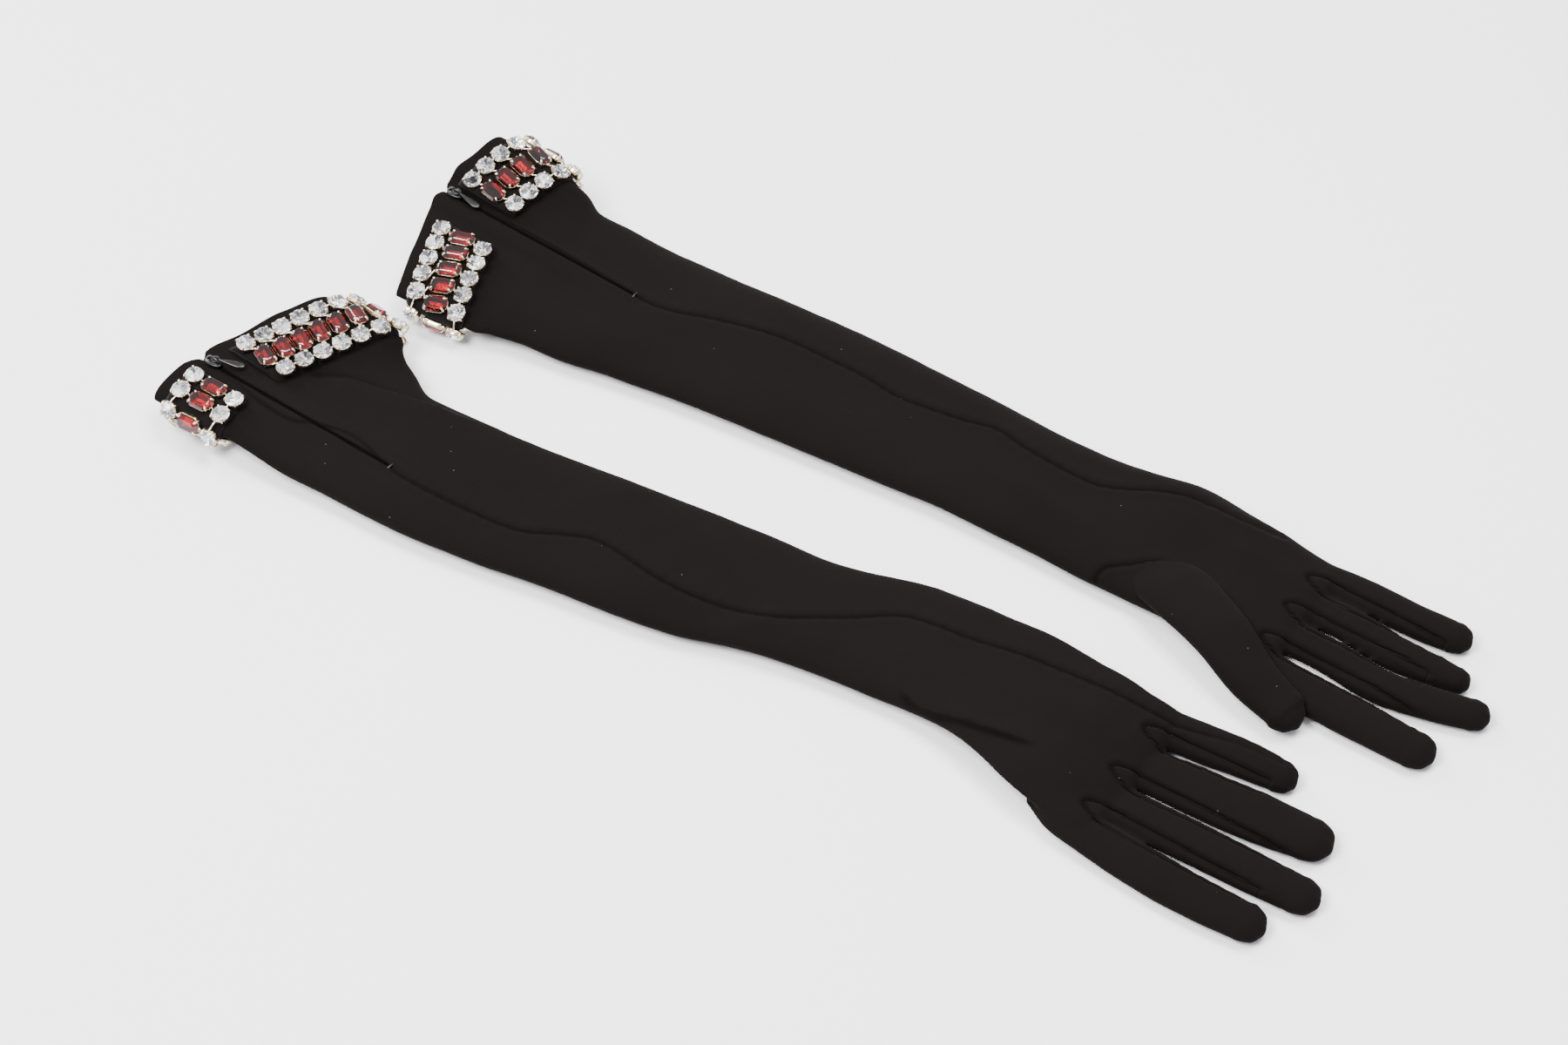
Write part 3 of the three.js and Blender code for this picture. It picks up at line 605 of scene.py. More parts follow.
print("folds shaped:", {side: len(folds) for side, folds in FOLDS.items()})

# %% [markdown]
# ## Sewing the cloth
# Sleeve, hand and fingers are separate tubes that overlap. A voxel remesh melts them into one skin of even
# small squares, as one piece of jersey would lie, and then the folds and seams are pressed in.
# The mouth is cut open last, and the skin is given its thickness inwards.

# %% Cloth tools
VOXEL = 1.05
SKIN = 0.8
MOUTH_OVERRUN = 5
ZIP_LIP = 1.7


def melted(name, tubes, voxel, smoothing):
    """One skin round several overlapping closed tubes."""
    verts, faces = [], []
    for tube_verts, tube_faces in tubes:
        base = len(verts)
        verts += tube_verts
        faces += [tuple(base + i for i in face) for face in tube_faces]
    obj = mesh_object(name, verts, faces)
    fuse = obj.modifiers.new("fuse", "REMESH")
    fuse.mode = "VOXEL"
    fuse.voxel_size = voxel * MM
    soften = obj.modifiers.new("soften", "SMOOTH")
    soften.iterations = smoothing
    applied(obj)
    obj.data.polygons.foreach_set("use_smooth", [True] * len(obj.data.polygons))
    return obj


def waves(points, scale, octaves=2):
    """Gentle noise from -1 to 1, with features of about scale mm."""
    return np.array([noise.fractal(Vector(p) / scale, 1.0, 2.0, octaves) for p in points])


def pressed_seam(points, normals, path, depth=SEAM_DEPTH, width=SEAM_WIDTH, pucker=0.12, upper=True):
    """A sewn line: a narrow groove, a low ridge of seam allowance beside it, and small puckers."""
    gap, sign, along = line_distance(points, path)
    length = np.linalg.norm(np.diff(np.array(path, float), axis=0), axis=1).sum()
    face = np.clip(normals[:, 2] * (1 if upper else -1) * 3, 0, 1)
    groove = -depth * np.exp(-((gap / width) ** 2))
    ridge = 0.28 * depth * np.exp(-(((gap - 2.4 * width) / (1.4 * width)) ** 2))
    gathers = pucker * np.sin(along * length * 2 * math.pi / 6.5 + 2 * np.sin(along * length / 17)) \
        * np.exp(-((gap / 5) ** 2))
    return (groove + ridge + gathers) * face


def crease_shade(points, normals, path, width, side=0.0):
    """How much painted shade darkens the bottom of a seam or the foot of a fold, 0 to 1."""
    gap, sign, along = line_distance(points, path)
    if side:
        dark = 0.7 * np.exp(-(((gap - 0.2 * width) / (0.22 * width)) ** 2)) * (sign * side < 0)
    else:
        dark = 0.85 * np.exp(-((gap / width) ** 2))
    return dark * np.clip(np.minimum(along, 1 - along) / 0.08, 0, 1) * np.clip(normals[:, 2] * 3, 0, 1)


def near_box(points, path, margin):
    path = np.array(path, float)
    low, high = path.min(0) - margin, path.max(0) + margin
    return np.all((points[:, :2] > low) & (points[:, :2] < high), axis=1)


def add_near(total, points, normals, path, margin, shape, *args, **settings):
    """Adds a shape's lift only where it can reach, which keeps a fine mesh quick."""
    near = near_box(points, path, margin)
    total[near] += shape(points[near], normals[near], path, *args, **settings)


def zip_levels(points, glove):
    """Distance along and across the zip for each point, and the zip line's height beneath it."""
    start, along, side, _ = zip_frame(glove)
    rel = points - start
    return rel @ along, rel @ side, start[2] + (rel @ along) * along[2]


def press_zip(points, normals, glove):
    """Lays the cloth either side of the zip level with it, in two folded lips that meet over the coils."""
    s, d, level = zip_levels(points, glove)
    gap = np.abs(d)
    profile = 0.35 * np.exp(-(((gap - ZIP_LIP) / 1.1) ** 2)) - 1.2 * np.exp(-((gap / 0.6) ** 2)) \
        - 0.3 * np.exp(-(((gap - 5.2) / 0.9) ** 2))
    hold = np.clip((11 - gap) / 7, 0, 1)
    hold = hold * hold * (3 - 2 * hold) * np.clip((ZIP_LENGTH + 9 - s) / 8, 0, 1) * (s > -12)
    hold *= normals[:, 2] > 0.1
    points[:, 2] += hold * (level + profile - 0.15 - points[:, 2])
    points[:, 0] += np.exp(-((gap / 3.2) ** 2)) * np.clip((6 - s) / 12, 0, 1) * 4.5 * (normals[:, 2] > 0)


def tip_gathers(points, finger):
    """Small pleats that draw in a fingertip, round the end of the finger's middle line."""
    tip = np.array(finger[-1], float)
    heading = math.radians(tip[2])
    centre = tip[:2] - tip[3] * 1.05 * np.array([math.cos(heading), math.sin(heading)])
    rel = points[:, :2] - centre
    turn = np.arctan2(rel[:, 1], rel[:, 0]) - heading
    reach = np.linalg.norm(rel, axis=1) / tip[3]
    ring = np.exp(-(((reach - 0.85) / 0.35) ** 2)) * (np.abs(turn) < 1.9)
    return ring * 0.12 * np.cos(turn * 9)


def open_mouth(obj, glove):
    """Cuts the tube off square at the cuff's edge."""
    x, y, heading = glove["cuff"][0][:3]
    h = math.radians(heading)
    place = (np.array([x, y, 0]) + ORIGIN) * MM
    cut = bmesh.new()
    cut.from_mesh(obj.data)
    bmesh.ops.bisect_plane(cut, geom=cut.verts[:] + cut.edges[:] + cut.faces[:], plane_co=place,
                           plane_no=(-math.cos(h), -math.sin(h), 0), clear_outer=True)
    cut.to_mesh(obj.data)
    cut.free()


def thickened(obj, skin=SKIN):
    wall = obj.modifiers.new("wall", "SOLIDIFY")
    wall.thickness = skin * MM
    wall.offset = -1
    wall.use_even_offset = False
    wall.use_rim = True
    return applied(obj)


def split_off(obj, name, chosen):
    """Moves the chosen faces into a piece of their own."""
    panel = obj.copy()
    panel.data = obj.data.copy()
    panel.name = panel.data.name = name
    bpy.context.collection.objects.link(panel)
    for piece, dropped in ((obj, chosen), (panel, ~chosen)):
        work = bmesh.new()
        work.from_mesh(piece.data)
        work.faces.ensure_lookup_table()
        bmesh.ops.delete(work, geom=[work.faces[i] for i in np.nonzero(dropped)[0]], context="FACES")
        work.to_mesh(piece.data)
        work.free()
    return panel

# %% Sew both gloves
def sleeve_tube(glove):
    stations = [*glove["cuff"], *glove["sleeve"]]
    first = moved(stations[0], -MOUTH_OVERRUN)
    end = stations[-1]
    rounded = moved(end, 3)
    rounded[3] -= 2.5
    rounded[4] += 2.2
    rounded[5:] = [top - 2.8 for top in rounded[5:]]
    return tube(smooth_run([first, *stations, rounded], 2.5), 40)


def sew_hand(side):
    glove = GLOVES[side]
    fingers = [tube(with_tip(finger), 16) for finger in glove["fingers"]]
    obj = melted(f"{side}_hand_and_sleeve", [sleeve_tube(glove), *fingers], VOXEL, 4)
    open_mouth(obj, glove)
    points, normals = coordinates(obj)
    points = flared(glove, points)
    lift = 0.45 * waves(points, 38) + 0.10 * waves(points, 9)
    lift *= np.clip((points[:, 0] - glove["cuff"][3][0]) / 20, 0.15, 1)
    # Painted shade is gathered here for seam grooves and the shadowed side of one-sided folds.
    shade = np.zeros(len(points))
    for path, height, width, keep, fade in FOLDS[side]:
        add_near(lift, points, normals, curve_through(path), 3 * width, fold, height, width, keep, fade)
        if keep:
            add_near(shade, points, normals, curve_through(path), 2 * width, crease_shade, width, keep)
    seam = curve_through(OUTSEAM[side])
    add_near(lift, points, normals, seam, 10, pressed_seam)
    add_near(shade, points, normals, seam, 4, crease_shade, 0.9)
    for gap in glove["gaps"].values():
        sewn = fourchette_seam(gap)
        add_near(lift, points, normals, sewn, 8, pressed_seam, depth=0.75, width=0.95, pucker=0.08)
        add_near(shade, points, normals, sewn, 4, crease_shade, 0.8)
    if side in THUMB_SEAM:
        add_near(lift, points, normals, curve_through(THUMB_SEAM[side]), 8, pressed_seam, pucker=0.2)
        add_near(shade, points, normals, curve_through(THUMB_SEAM[side]), 4, crease_shade, 0.9)
    for finger in glove["fingers"]:
        lift += tip_gathers(points, finger) * (points[:, 0] > 225)
    points += normals * lift[:, None]
    press_zip(points, normals, glove)
    points[:, 2] = np.maximum(points[:, 2], 0.02)
    set_coordinates(obj, points)
    # The painted shade is stored on each point, and the jersey darkens its colour with it.
    obj.data.attributes.new("painted_crease_shade", "FLOAT", "POINT").data.foreach_set("value", np.clip(shade, 0, 1))
    return obj


def face_middles(obj):
    flat = np.empty(len(obj.data.polygons) * 3, np.float32)
    obj.data.polygons.foreach_get("center", flat)
    return flat.reshape(-1, 3).astype(float) / MM - ORIGIN


def fourchette_faces(obj, gap, width=4.4, nose=4):
    (x0, y0), (x1, y1) = gap
    along = np.array([x1 - x0, y1 - y0]) / math.hypot(x1 - x0, y1 - y0)
    rel = face_middles(obj)[:, :2] - (x0, y0)
    s, d = rel @ along, rel @ np.array([-along[1], along[0]])
    reach = math.hypot(x1 - x0, y1 - y0)
    allowed = np.where(s < 4, width * np.sqrt(np.clip((s + nose) / (4 + nose), 0, 1)), width)
    return (s > -nose) & (s < reach) & (np.abs(d) < allowed)


cloth_pieces = []
for side, glove in GLOVES.items():
    body = f"{side}_glove"
    hand = sew_hand(side)
    for name, gap in glove["gaps"].items():
        strip = split_off(hand, f"{side}_fourchette_{name}_cloth", fourchette_faces(hand, gap))
        thickened(strip)
        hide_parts(f"{side}_fourchette_{name}")
        cloth_pieces.append((strip, body))
    thickened(hand)
    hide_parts(f"{side}_trank")
    cloth_pieces.append((hand, body))
    thumb = melted(f"{side}_thumb_cloth", [tube(with_tip(smooth_run(glove["thumb"], 4)), 18)], 0.9, 4)
    points, normals = coordinates(thumb)
    lift = 0.3 * waves(points, 20) + tip_gathers(points, glove["thumb"]) * 0.8
    points += normals * lift[:, None]
    points[:, 2] = np.maximum(points[:, 2], 0.02)
    set_coordinates(thumb, points)
    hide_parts(f"{side}_thumb")
    cloth_pieces.append((thumb, body))
for piece, body in cloth_pieces:
    piece.data.materials.clear()
    piece.data.materials.append(jersey)
    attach(piece, body)
print("cloth:", {piece.name: len(piece.data.polygons) for piece, _ in cloth_pieces})

# %% [markdown]
# ## The jewelled band
# Under the stones runs a strip of stiff black felt, 32 mm wide and 2 mm thick, sewn round the cuff and
# ending each side of the zip. It lies on the same flattened ring as the cuff, so its shape is swept from
# the cuff's own sections, with rounded edges.

# %% Cuff sections
BAND_END = 4.6
BAND_INNER_EDGE = 13.8
FINE_STEPS = 40
COARSE_STEPS = 9


def cuff_section(glove, offset):
    """The cuff's station at a distance along the sleeve from the red row."""
    cuff = np.array(glove["cuff"], float)
    reach = cuff[:, 0] - cuff[2, 0]
    i = min(3, max(0, int(np.searchsorted(reach, offset + 1e-6, side="right")) - 1))
    f = (offset - reach[i]) / (reach[i + 1] - reach[i])
    return cuff[i] * (1 - f) + cuff[i + 1] * f


def closed_path(points):
    """A closed outline as a function from distance to place, and its whole length."""
    loop = np.vstack([points, points[:1]])
    marks = np.concatenate([[0], np.cumsum(np.linalg.norm(np.diff(loop, axis=0), axis=1))])

    def at(distance):
        d = np.mod(distance, marks[-1])
        return np.stack([np.interp(d, marks, loop[:, axis]) for axis in range(3)], -1)
    return at, marks[-1]


def nearest_distance(points, target):
    at, total = closed_path(points)
    places = np.arange(0, total, 0.1)
    return places[np.argmin(np.linalg.norm(at(places) - target, axis=1))]


def ring_path(glove, offset, lift, steps):
    """The ring round the cuff at one offset: a function of the distance from the zip, and its length."""
    points = flared(glove, section(cuff_section(glove, offset), lift, steps))[::-1]
    start, along, _, up = zip_frame(glove)
    zip_at = start + along * (BAND_WIDTH / 2 + HEM + offset) + up * lift
    at, total = closed_path(points)
    begin = nearest_distance(points, zip_at)
    return (lambda distance: at(begin + distance)), total


def band_surface(glove):
    """Places and outward directions on the cuff, by offset from the red row and share of the way round."""
    offsets = np.linspace(-BAND_WIDTH / 2, BAND_INNER_EDGE, 13)
    rings = [ring_path(glove, offset, 0.0, FINE_STEPS) for offset in offsets]
    total = rings[6][1]
    below, above = glove["first_column"]
    shares = np.linspace((below - BAND_END) / total, 1 - (above - BAND_END) / total, 150)
    grid = np.array([ring(shares * length) for ring, length in rings])
    across = np.gradient(grid, axis=0)
    along = np.gradient(grid, axis=1)
    out = np.cross(along, across)
    out /= np.linalg.norm(out, axis=2, keepdims=True)
    return offsets, grid, out


def felt_band(side):
    """A strip of constant thickness with rounded long edges, closed at both ends."""
    glove = GLOVES[side]
    offsets, grid, out = band_surface(glove)
    inset = np.minimum(offsets - offsets[0], offsets[-1] - offsets)
    edge = np.clip(inset / 3.0, 0, 1)
    high = GAP + BAND_THICKNESS * (0.15 + 0.85 * np.sqrt(1 - (1 - edge) ** 2))
    top = grid + out * high[:, None, None]
    base = grid + out * GAP * 0.5
    profile = np.concatenate([top, base[::-1]])
    count, long = profile.shape[:2]
    verts = profile.transpose(1, 0, 2).reshape(-1, 3)
    faces = ring_faces(long, count)
    faces += [tuple(range(count)), tuple((long - 1) * count + i for i in range(count))[::-1]]
    return mesh_object(f"{side}_felt_band", verts, faces)


def pressed_felt(name):
    """Felt: a mat of short black fibres pressed flat, so the surface is dull and faintly mottled."""
    material, tree, output = new_material(name)
    where = add(tree, "ShaderNodeTexCoord").outputs["Object"]
    fibres = add(tree, "ShaderNodeTexNoise", {"Scale": 1 / (0.6 * MM), "Detail": 5.0, "Distortion": 1.5},
                 Vector=where)
    tone = add(tree, "ShaderNodeMix", {"data_type": "RGBA", "A": linear("#080606"), "B": linear("#0e0b0b")},
               Factor=fibres.outputs["Fac"])
    bump = add(tree, "ShaderNodeBump", {"Strength": 0.5, "Distance": 0.15 * MM},
               Height=fibres.outputs["Fac"])
    shader = add(tree, "ShaderNodeBsdfPrincipled", {
        "Roughness": 0.95, "Specular IOR Level": 0.05, "Sheen Weight": 0.03, "Sheen Roughness": 0.6,
    }, Base_Color=tone.outputs["Result"], Normal=bump.outputs["Normal"])
    tree.links.new(shader.outputs["BSDF"], output.inputs["Surface"])
    return material


felt = pressed_felt("pressed_felt")
for side in GLOVES:
    strip = felt_band(side)
    strip.data.materials.append(felt)
    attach(strip, f"{side}_glove")
    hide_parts(f"{side}_jewel_band")
    print(strip.name, "faces:", len(strip.data.polygons))

# %% [markdown]
# ## Glass stones
# The stones are cut lead glass. The red ones are step cut: an oblong octagon with long facets parallel
# to its edges. The clear ones are round, with a table, kite and star facets. The back of each stone is
# painted with silver foil, which throws the light back out. Each stone is therefore one closed, flat-faced
# solid whose crown is clear glass and whose pavilion is mirror foil, so the sparkle is partly real refraction
# and partly painted: each foil facet has a painted reflection tone, dark or bright, and the brightest
# facets of the clear stones glow as painted glints.

# %% Places of the stones
COLUMN_PITCH = 8.3
SETTING_SEAT = 0.45
RED = {"across": 11.6, "along": 7.8, "height": 4.2}
CRYSTAL = {"across": 8.2, "along": 8.2, "height": 4.2}
CORNER_CUT = 0.29


def unit(v):
    return v / np.linalg.norm(v)


def row_frames(glove, offset, stone):
    """Where each stone of one row sits: its seat on the band, and its across, along and out directions."""
    paths = [ring_path(glove, offset + share * stone["across"], GAP + BAND_THICKNESS, COARSE_STEPS)
             for share in (-0.5, 0, 0.5)]
    path, total = paths[1]
    below, above = glove["first_column"]
    run = total - below - above
    count = int(run / COLUMN_PITCH) + 1
    samples = np.array([-0.5, -0.35, -0.2, 0, 0.2, 0.35, 0.5]) * stone["along"]
    frames = []
    for k in range(count):
        distance = below + run * k / (count - 1)
        along = unit(path(distance + 3.5) - path(distance - 3.5))
        after, before = (at(distance * length / total) for at, length in (paths[2], paths[0]))
        out = unit(np.cross(along, after - before))
        across = unit(np.cross(out, along))
        seat = path(distance)
        lifts = [(at((distance + s) * length / total) - seat) @ out for at, length in paths for s in samples]
        frames.append((seat + out * (max(lifts) + SETTING_SEAT), across, along, out))
    return frames


STONE_FRAMES = {}
for side, glove in GLOVES.items():
    for row, offset, stone in (
            ("outer", -ROW_SPACING, CRYSTAL), ("red", 0, RED), ("inner", ROW_SPACING, CRYSTAL)):
        STONE_FRAMES[side, row] = row_frames(glove, offset, stone)
print("stones in each row:", {key: len(frames) for key, frames in STONE_FRAMES.items()})


def check_seats():
    """How far the first red stone's seat is from its CAD solid, as a test of the frames."""
    low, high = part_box("left_red_stone_01")
    seat, _, _, out = STONE_FRAMES["left", "red"][0]
    middle = np.array((low + high) / 2) / MM - ORIGIN
    return np.linalg.norm(seat + out * RED["height"] / 2 - middle)


print("first red stone is off its CAD place by mm:", round(float(check_seats()), 2))

# %% [markdown]
# A stone's shape is a list of levels, each a ring of corners at a height, and the rings are joined by flat
# facets. The step cut insets each ring by the same distance on every side, as the cutter's wheel does.
# The round cut joins eight-sided rings turned by half a step, which gives the kites and triangles.

# %% Cutting the stones
def octagon(across, along, corner, inset):
    """The corners of an oblong octagon, each side moved in by the same distance."""
    a, b = across / 2 - inset, along / 2 - inset
    c = max(0.35, corner - 0.59 * inset)
    return [(a, b - c), (a - c, b), (c - a, b), (-a, b - c),
            (-a, c - b), (c - a, -b), (a - c, -b), (a, c - b)]


def step_cut(across, along, girdle, top):
    """A step-cut stone: crown faces 0, pavilion faces 1."""
    corner = CORNER_CUT * along
    rise = top - girdle
    crown = [(0, girdle - 0.25), (0, girdle), (0.75, girdle + rise * 0.55),
             (1.35, girdle + rise * 0.88), (1.75, top)]
    back = [(1.1, girdle * 0.62), (2.2, girdle * 0.34), (3.05, girdle * 0.12)]
    levels = [(octagon(across, along, corner, inset), z) for inset, z in back[::-1] + crown]
    verts = [(x, y, z) for ring, z in levels for x, y in ring]
    faces, kinds = [tuple(range(8))[::-1]], [1]
    for r in range(len(levels) - 1):
        for i in range(8):
            j = (i + 1) % 8
            faces.append((r * 8 + i, r * 8 + j, (r + 1) * 8 + j, (r + 1) * 8 + i))
            kinds.append(1 if r < len(back) else 0)
    faces.append(tuple((len(levels) - 1) * 8 + i for i in range(8)))
    kinds.append(0)
    return verts, faces, kinds


def round_cut(radius, girdle, top):
    """A round brilliant: table, stars, kites and upper halves over a pavilion of sixteen rays."""
    def ring(r, z, count, turn):
        return [(r * math.cos(2 * math.pi * (i + turn) / count),
                 r * math.sin(2 * math.pi * (i + turn) / count), z)
                for i in range(count)]
    rise = top - girdle
    verts = [(0, 0, girdle * 0.08), *ring(radius * 0.5, girdle * 0.42, 8, 0.5),
             *ring(radius, girdle - 0.2, 16, 0), *ring(radius, girdle, 16, 0),
             *ring(radius * 0.8, girdle + rise * 0.6, 8, 0.5), *ring(radius * 0.56, top, 8, 0)]
    deep, low, high, star, table = 1, 9, 25, 41, 49
    faces, kinds = [], []

    def facet(kind, *corners):
        faces.append(corners)
        kinds.append(kind)
    for k in range(8):
        n = (k + 1) % 8
        g0, g1, g2 = 2 * k, 2 * k + 1, (2 * k + 2) % 16
        facet(1, 0, deep + (k - 1) % 8, low + g0, deep + k)
        facet(1, deep + k, low + g0, low + g1)
        facet(1, deep + k, low + g1, low + g2)
        facet(0, high + g0, high + g1, star + k)
        facet(0, high + g1, high + g2, star + k)
        facet(0, high + g0, star + k, table + k, star + (k - 1) % 8)
        facet(0, star + k, table + n, table + k)
    for i in range(16):
        facet(0, low + i, low + (i + 1) % 16, high + (i + 1) % 16, high + i)
    facet(0, *[table + i for i in range(8)])
    return verts, faces, kinds

# %% [markdown]
# Every stone sits in a claw setting stamped from brass and plated a pale gold. A cup with a pleated wall
# holds it from below, a rim runs just under its girdle, and four small claws are bent over its edge.

# %% Making the settings
def cup(outline, rim, floor, pleats=0):
    """A setting's wall: closed, open in the middle, its outline scaled at each level."""
    levels = [(0.86, floor), (0.93, floor + 0.25), (0.97, rim * 0.5), (1.0, rim - 0.3), (1.0, rim), (0.95, rim),
              (0.80, rim * 0.5), (0.62, floor + 0.35)]
    points = []
    for turn, (x, y) in enumerate(outline):
        for scale, z in levels:
            wave = 1 + (pleats * (0.5 if turn % 2 else -0.5) if floor < z < rim - 0.2 and scale > 0.85 else 0)
            points.append((x * scale * wave, y * scale * wave, z))
    count, rings = len(levels), len(outline)
    faces = [(r * count + i, r * count + (i + 1) % count, ((r + 1) % rings) * count + (i + 1) % count,
              ((r + 1) % rings) * count + i) for r in range(rings) for i in range(count - 1)]
    faces.append(tuple(r * count for r in range(rings)))
    faces.append(tuple(r * count + count - 1 for r in range(rings))[::-1])
    return points, faces


def rod(path, radius, sides=8, flat=1.0):
    """A closed round bar through points, with its ends drawn in a little."""
    path = np.array(path, float)
    tangents = np.gradient(path, axis=0)
    reference = np.array([0.0, 0.0, 1.0]) if abs(unit(tangents[0])[2]) < 0.9 else np.array([1.0, 0.0, 0.0])
    verts, faces = [], []
    last = len(path) - 1
    rows = [(0, 0.55), *[(i, 1.0) for i in range(last + 1)], (last, 0.55)]
    ends = {0: -0.45 * radius, len(rows) - 1: 0.45 * radius}
    for row, (i, scale) in enumerate(rows):
        t = unit(tangents[i])
        side = unit(np.cross(reference, t))
        up = np.cross(t, side)
        centre = path[i] + t * ends.get(row, 0)
        verts += [tuple(centre + radius * scale * (math.cos(a) * side + flat * math.sin(a) * up))
                  for a in np.arange(sides) * 2 * math.pi / sides]
    faces += ring_faces(len(rows), sides)
    faces += [tuple(range(sides))[::-1], tuple((len(rows) - 1) * sides + i for i in range(sides))]
    return verts, faces


def claw(x, y, rim, tip_in):
    """One claw: up the outside of the cup, over the girdle and down onto the crown."""
    length = math.hypot(x, y)
    out = np.array([x / length, y / length, 0])
    foot = np.array([x, y, 0.0])
    return rod([foot + (0, 0, rim * 0.25), foot + out * 0.1 + (0, 0, rim * 0.8),
                foot + out * 0.05 + (0, 0, rim + 0.4), foot - out * tip_in * 0.5 + (0, 0, rim + 1.0),
                foot - out * tip_in + (0, 0, rim + 1.15)], 0.5, 8)


def combined(parts):
    verts, faces = [], []
    for part_verts, part_faces in parts:
        base = len(verts)
        verts += [tuple(v) for v in part_verts]
        faces += [tuple(base + i for i in face) for face in part_faces]
    return verts, faces


def red_setting():
    a, b, corner = RED["across"] / 2 - 0.1, RED["along"] / 2 - 0.08, CORNER_CUT * RED["along"]
    outline = octagon(2 * a, 2 * b, corner, 0)
    dense = [tuple(np.array(p) * (1 - t) + np.array(q) * t)
             for p, q in zip(outline, outline[1:] + outline[:1]) for t in (0, 0.25, 0.5, 0.75)]
    mid = corner / 2
    claws = [claw(sx * (a - mid), sy * (b - mid), 2.25, 0.95) for sx in (1, -1) for sy in (1, -1)]
    return combined([cup(dense, 2.35, 0.0), *claws])


def crystal_setting():
    radius = CRYSTAL["across"] / 2 - 0.12
    outline = [(radius * math.cos(t), radius * math.sin(t)) for t in np.arange(36) * 2 * math.pi / 36]
    claws = [claw(radius * math.cos(t), radius * math.sin(t), 2.2, 0.8)
             for t in math.pi / 4 + np.arange(4) * math.pi / 2]
    return combined([cup(outline, 2.3, 0.0, pleats=0.05), *claws])


def placed(shape, frame):
    seat, across, along, out = frame
    verts, faces, *rest = shape
    local = np.array(verts, float)
    return (seat + local[:, :1] * across + local[:, 1:2] * along + local[:, 2:3] * out, faces, *rest)


RED_SHAPE = step_cut(RED["across"] - 0.3, RED["along"] - 0.25, 2.5, RED["height"])
CRYSTAL_SHAPE = round_cut(CRYSTAL["across"] / 2 - 0.12, 2.45, CRYSTAL["height"])
print("facets: red", len(RED_SHAPE[1]), "clear", len(CRYSTAL_SHAPE[1]))

# %% [markdown]
# ## Glass, foil and plating
# Lead glass bends light strongly (IOR about 1.6), and its colour lies in its depth. The foil behind it is
# silver. Not every facet of a real foil catches a light, so each foil facet is given a random dark or bright
# tone as painted reflection, and the brightest facets of the clear stones glow as painted glints. The
# settings are plated a pale champagne gold, bright but slightly rubbed where they touch.

# %% Stone and metal materials
def lead_glass(name, tint, gloss=0.5, roughness=0.01):
    """Polished cut glass: sharp reflections, strong refraction, colour from the glass itself."""
    material, tree, output = new_material(name)
    where = add(tree, "ShaderNodeTexCoord").outputs["Object"]
    smear = add(tree, "ShaderNodeTexNoise", {"Scale": 1 / (3 * MM), "Detail": 2.0}, Vector=where)
    polish = add(tree, "ShaderNodeMapRange", {"From Min": 0.3, "From Max": 0.8, "To Min": roughness,
                                              "To Max": roughness + 0.03}, Value=smear.outputs["Fac"])
    shader = add(tree, "ShaderNodeBsdfPrincipled", {
        "Base Color": linear(tint), "IOR": 1.6, "Transmission Weight": 1.0, "Specular IOR Level": gloss,
    }, Roughness=polish.outputs["Result"])
    tree.links.new(shader.outputs["BSDF"], output.inputs["Surface"])
    return material


def foil_back(name, dark, bright, painted_glint_strength=0.0):
    """Silver foil with lacquer over it, mirror smooth, its tone a painted reflection and its sparkle partly
    painted glints, set facet by facet.
    """
    material, tree, output = new_material(name)
    # Painted reflection: each facet's random tone stands in for a facet that catches a light or faces dark
    # surroundings.
    tone = add(tree, "ShaderNodeAttribute", {"attribute_name": "painted_facet_reflection"})
    colour = add(tree, "ShaderNodeMix", {"data_type": "RGBA", "A": linear(dark), "B": linear(bright)},
                 Factor=tone.outputs["Fac"])
    shader = add(tree, "ShaderNodeBsdfPrincipled", {"Metallic": 1.0, "Roughness": 0.08,
                                                    "Emission Color": linear("#ffffff"),
                                                    "Emission Strength": 0.0},
                 Base_Color=colour.outputs["Result"])
    if painted_glint_strength > 0:
        # Painted glints: the brightest facets glow, though the foil is no lamp.
        few = add(tree, "ShaderNodeMath", {"operation": "POWER", 1: 4.0}, _0=tone.outputs["Fac"])
        painted_glint_glow = add(tree, "ShaderNodeMath", {"operation": "MULTIPLY", 1: painted_glint_strength}, _0=few.outputs[0])
        tree.links.new(painted_glint_glow.outputs[0], shader.inputs["Emission Strength"])
    tree.links.new(shader.outputs["BSDF"], output.inputs["Surface"])
    return material


def champagne_plating(name):
    """Thin pale gold plating over stamped brass: bright, with soft stamping marks and rubbed high spots."""
    material, tree, output = new_material(name)
    where = add(tree, "ShaderNodeTexCoord").outputs["Object"]
    marks = add(tree, "ShaderNodeTexNoise", {"Scale": 1 / (1.2 * MM), "Detail": 3.0}, Vector=where)
    tone = add(tree, "ShaderNodeMix", {"data_type": "RGBA", "A": linear("#cdb894"), "B": linear("#f0e4cd")},
               Factor=marks.outputs["Fac"])
    rubbed = add(tree, "ShaderNodeMapRange", {"To Min": 0.16, "To Max": 0.32}, Value=marks.outputs["Fac"])
    bump = add(tree, "ShaderNodeBump", {"Strength": 0.25, "Distance": 0.08 * MM},
               Height=marks.outputs["Fac"])
    shader = add(tree, "ShaderNodeBsdfPrincipled", {"Metallic": 1.0}, Base_Color=tone.outputs["Result"],
                 Roughness=rubbed.outputs["Result"], Normal=bump.outputs["Normal"])
    tree.links.new(shader.outputs["BSDF"], output.inputs["Surface"])
    return material


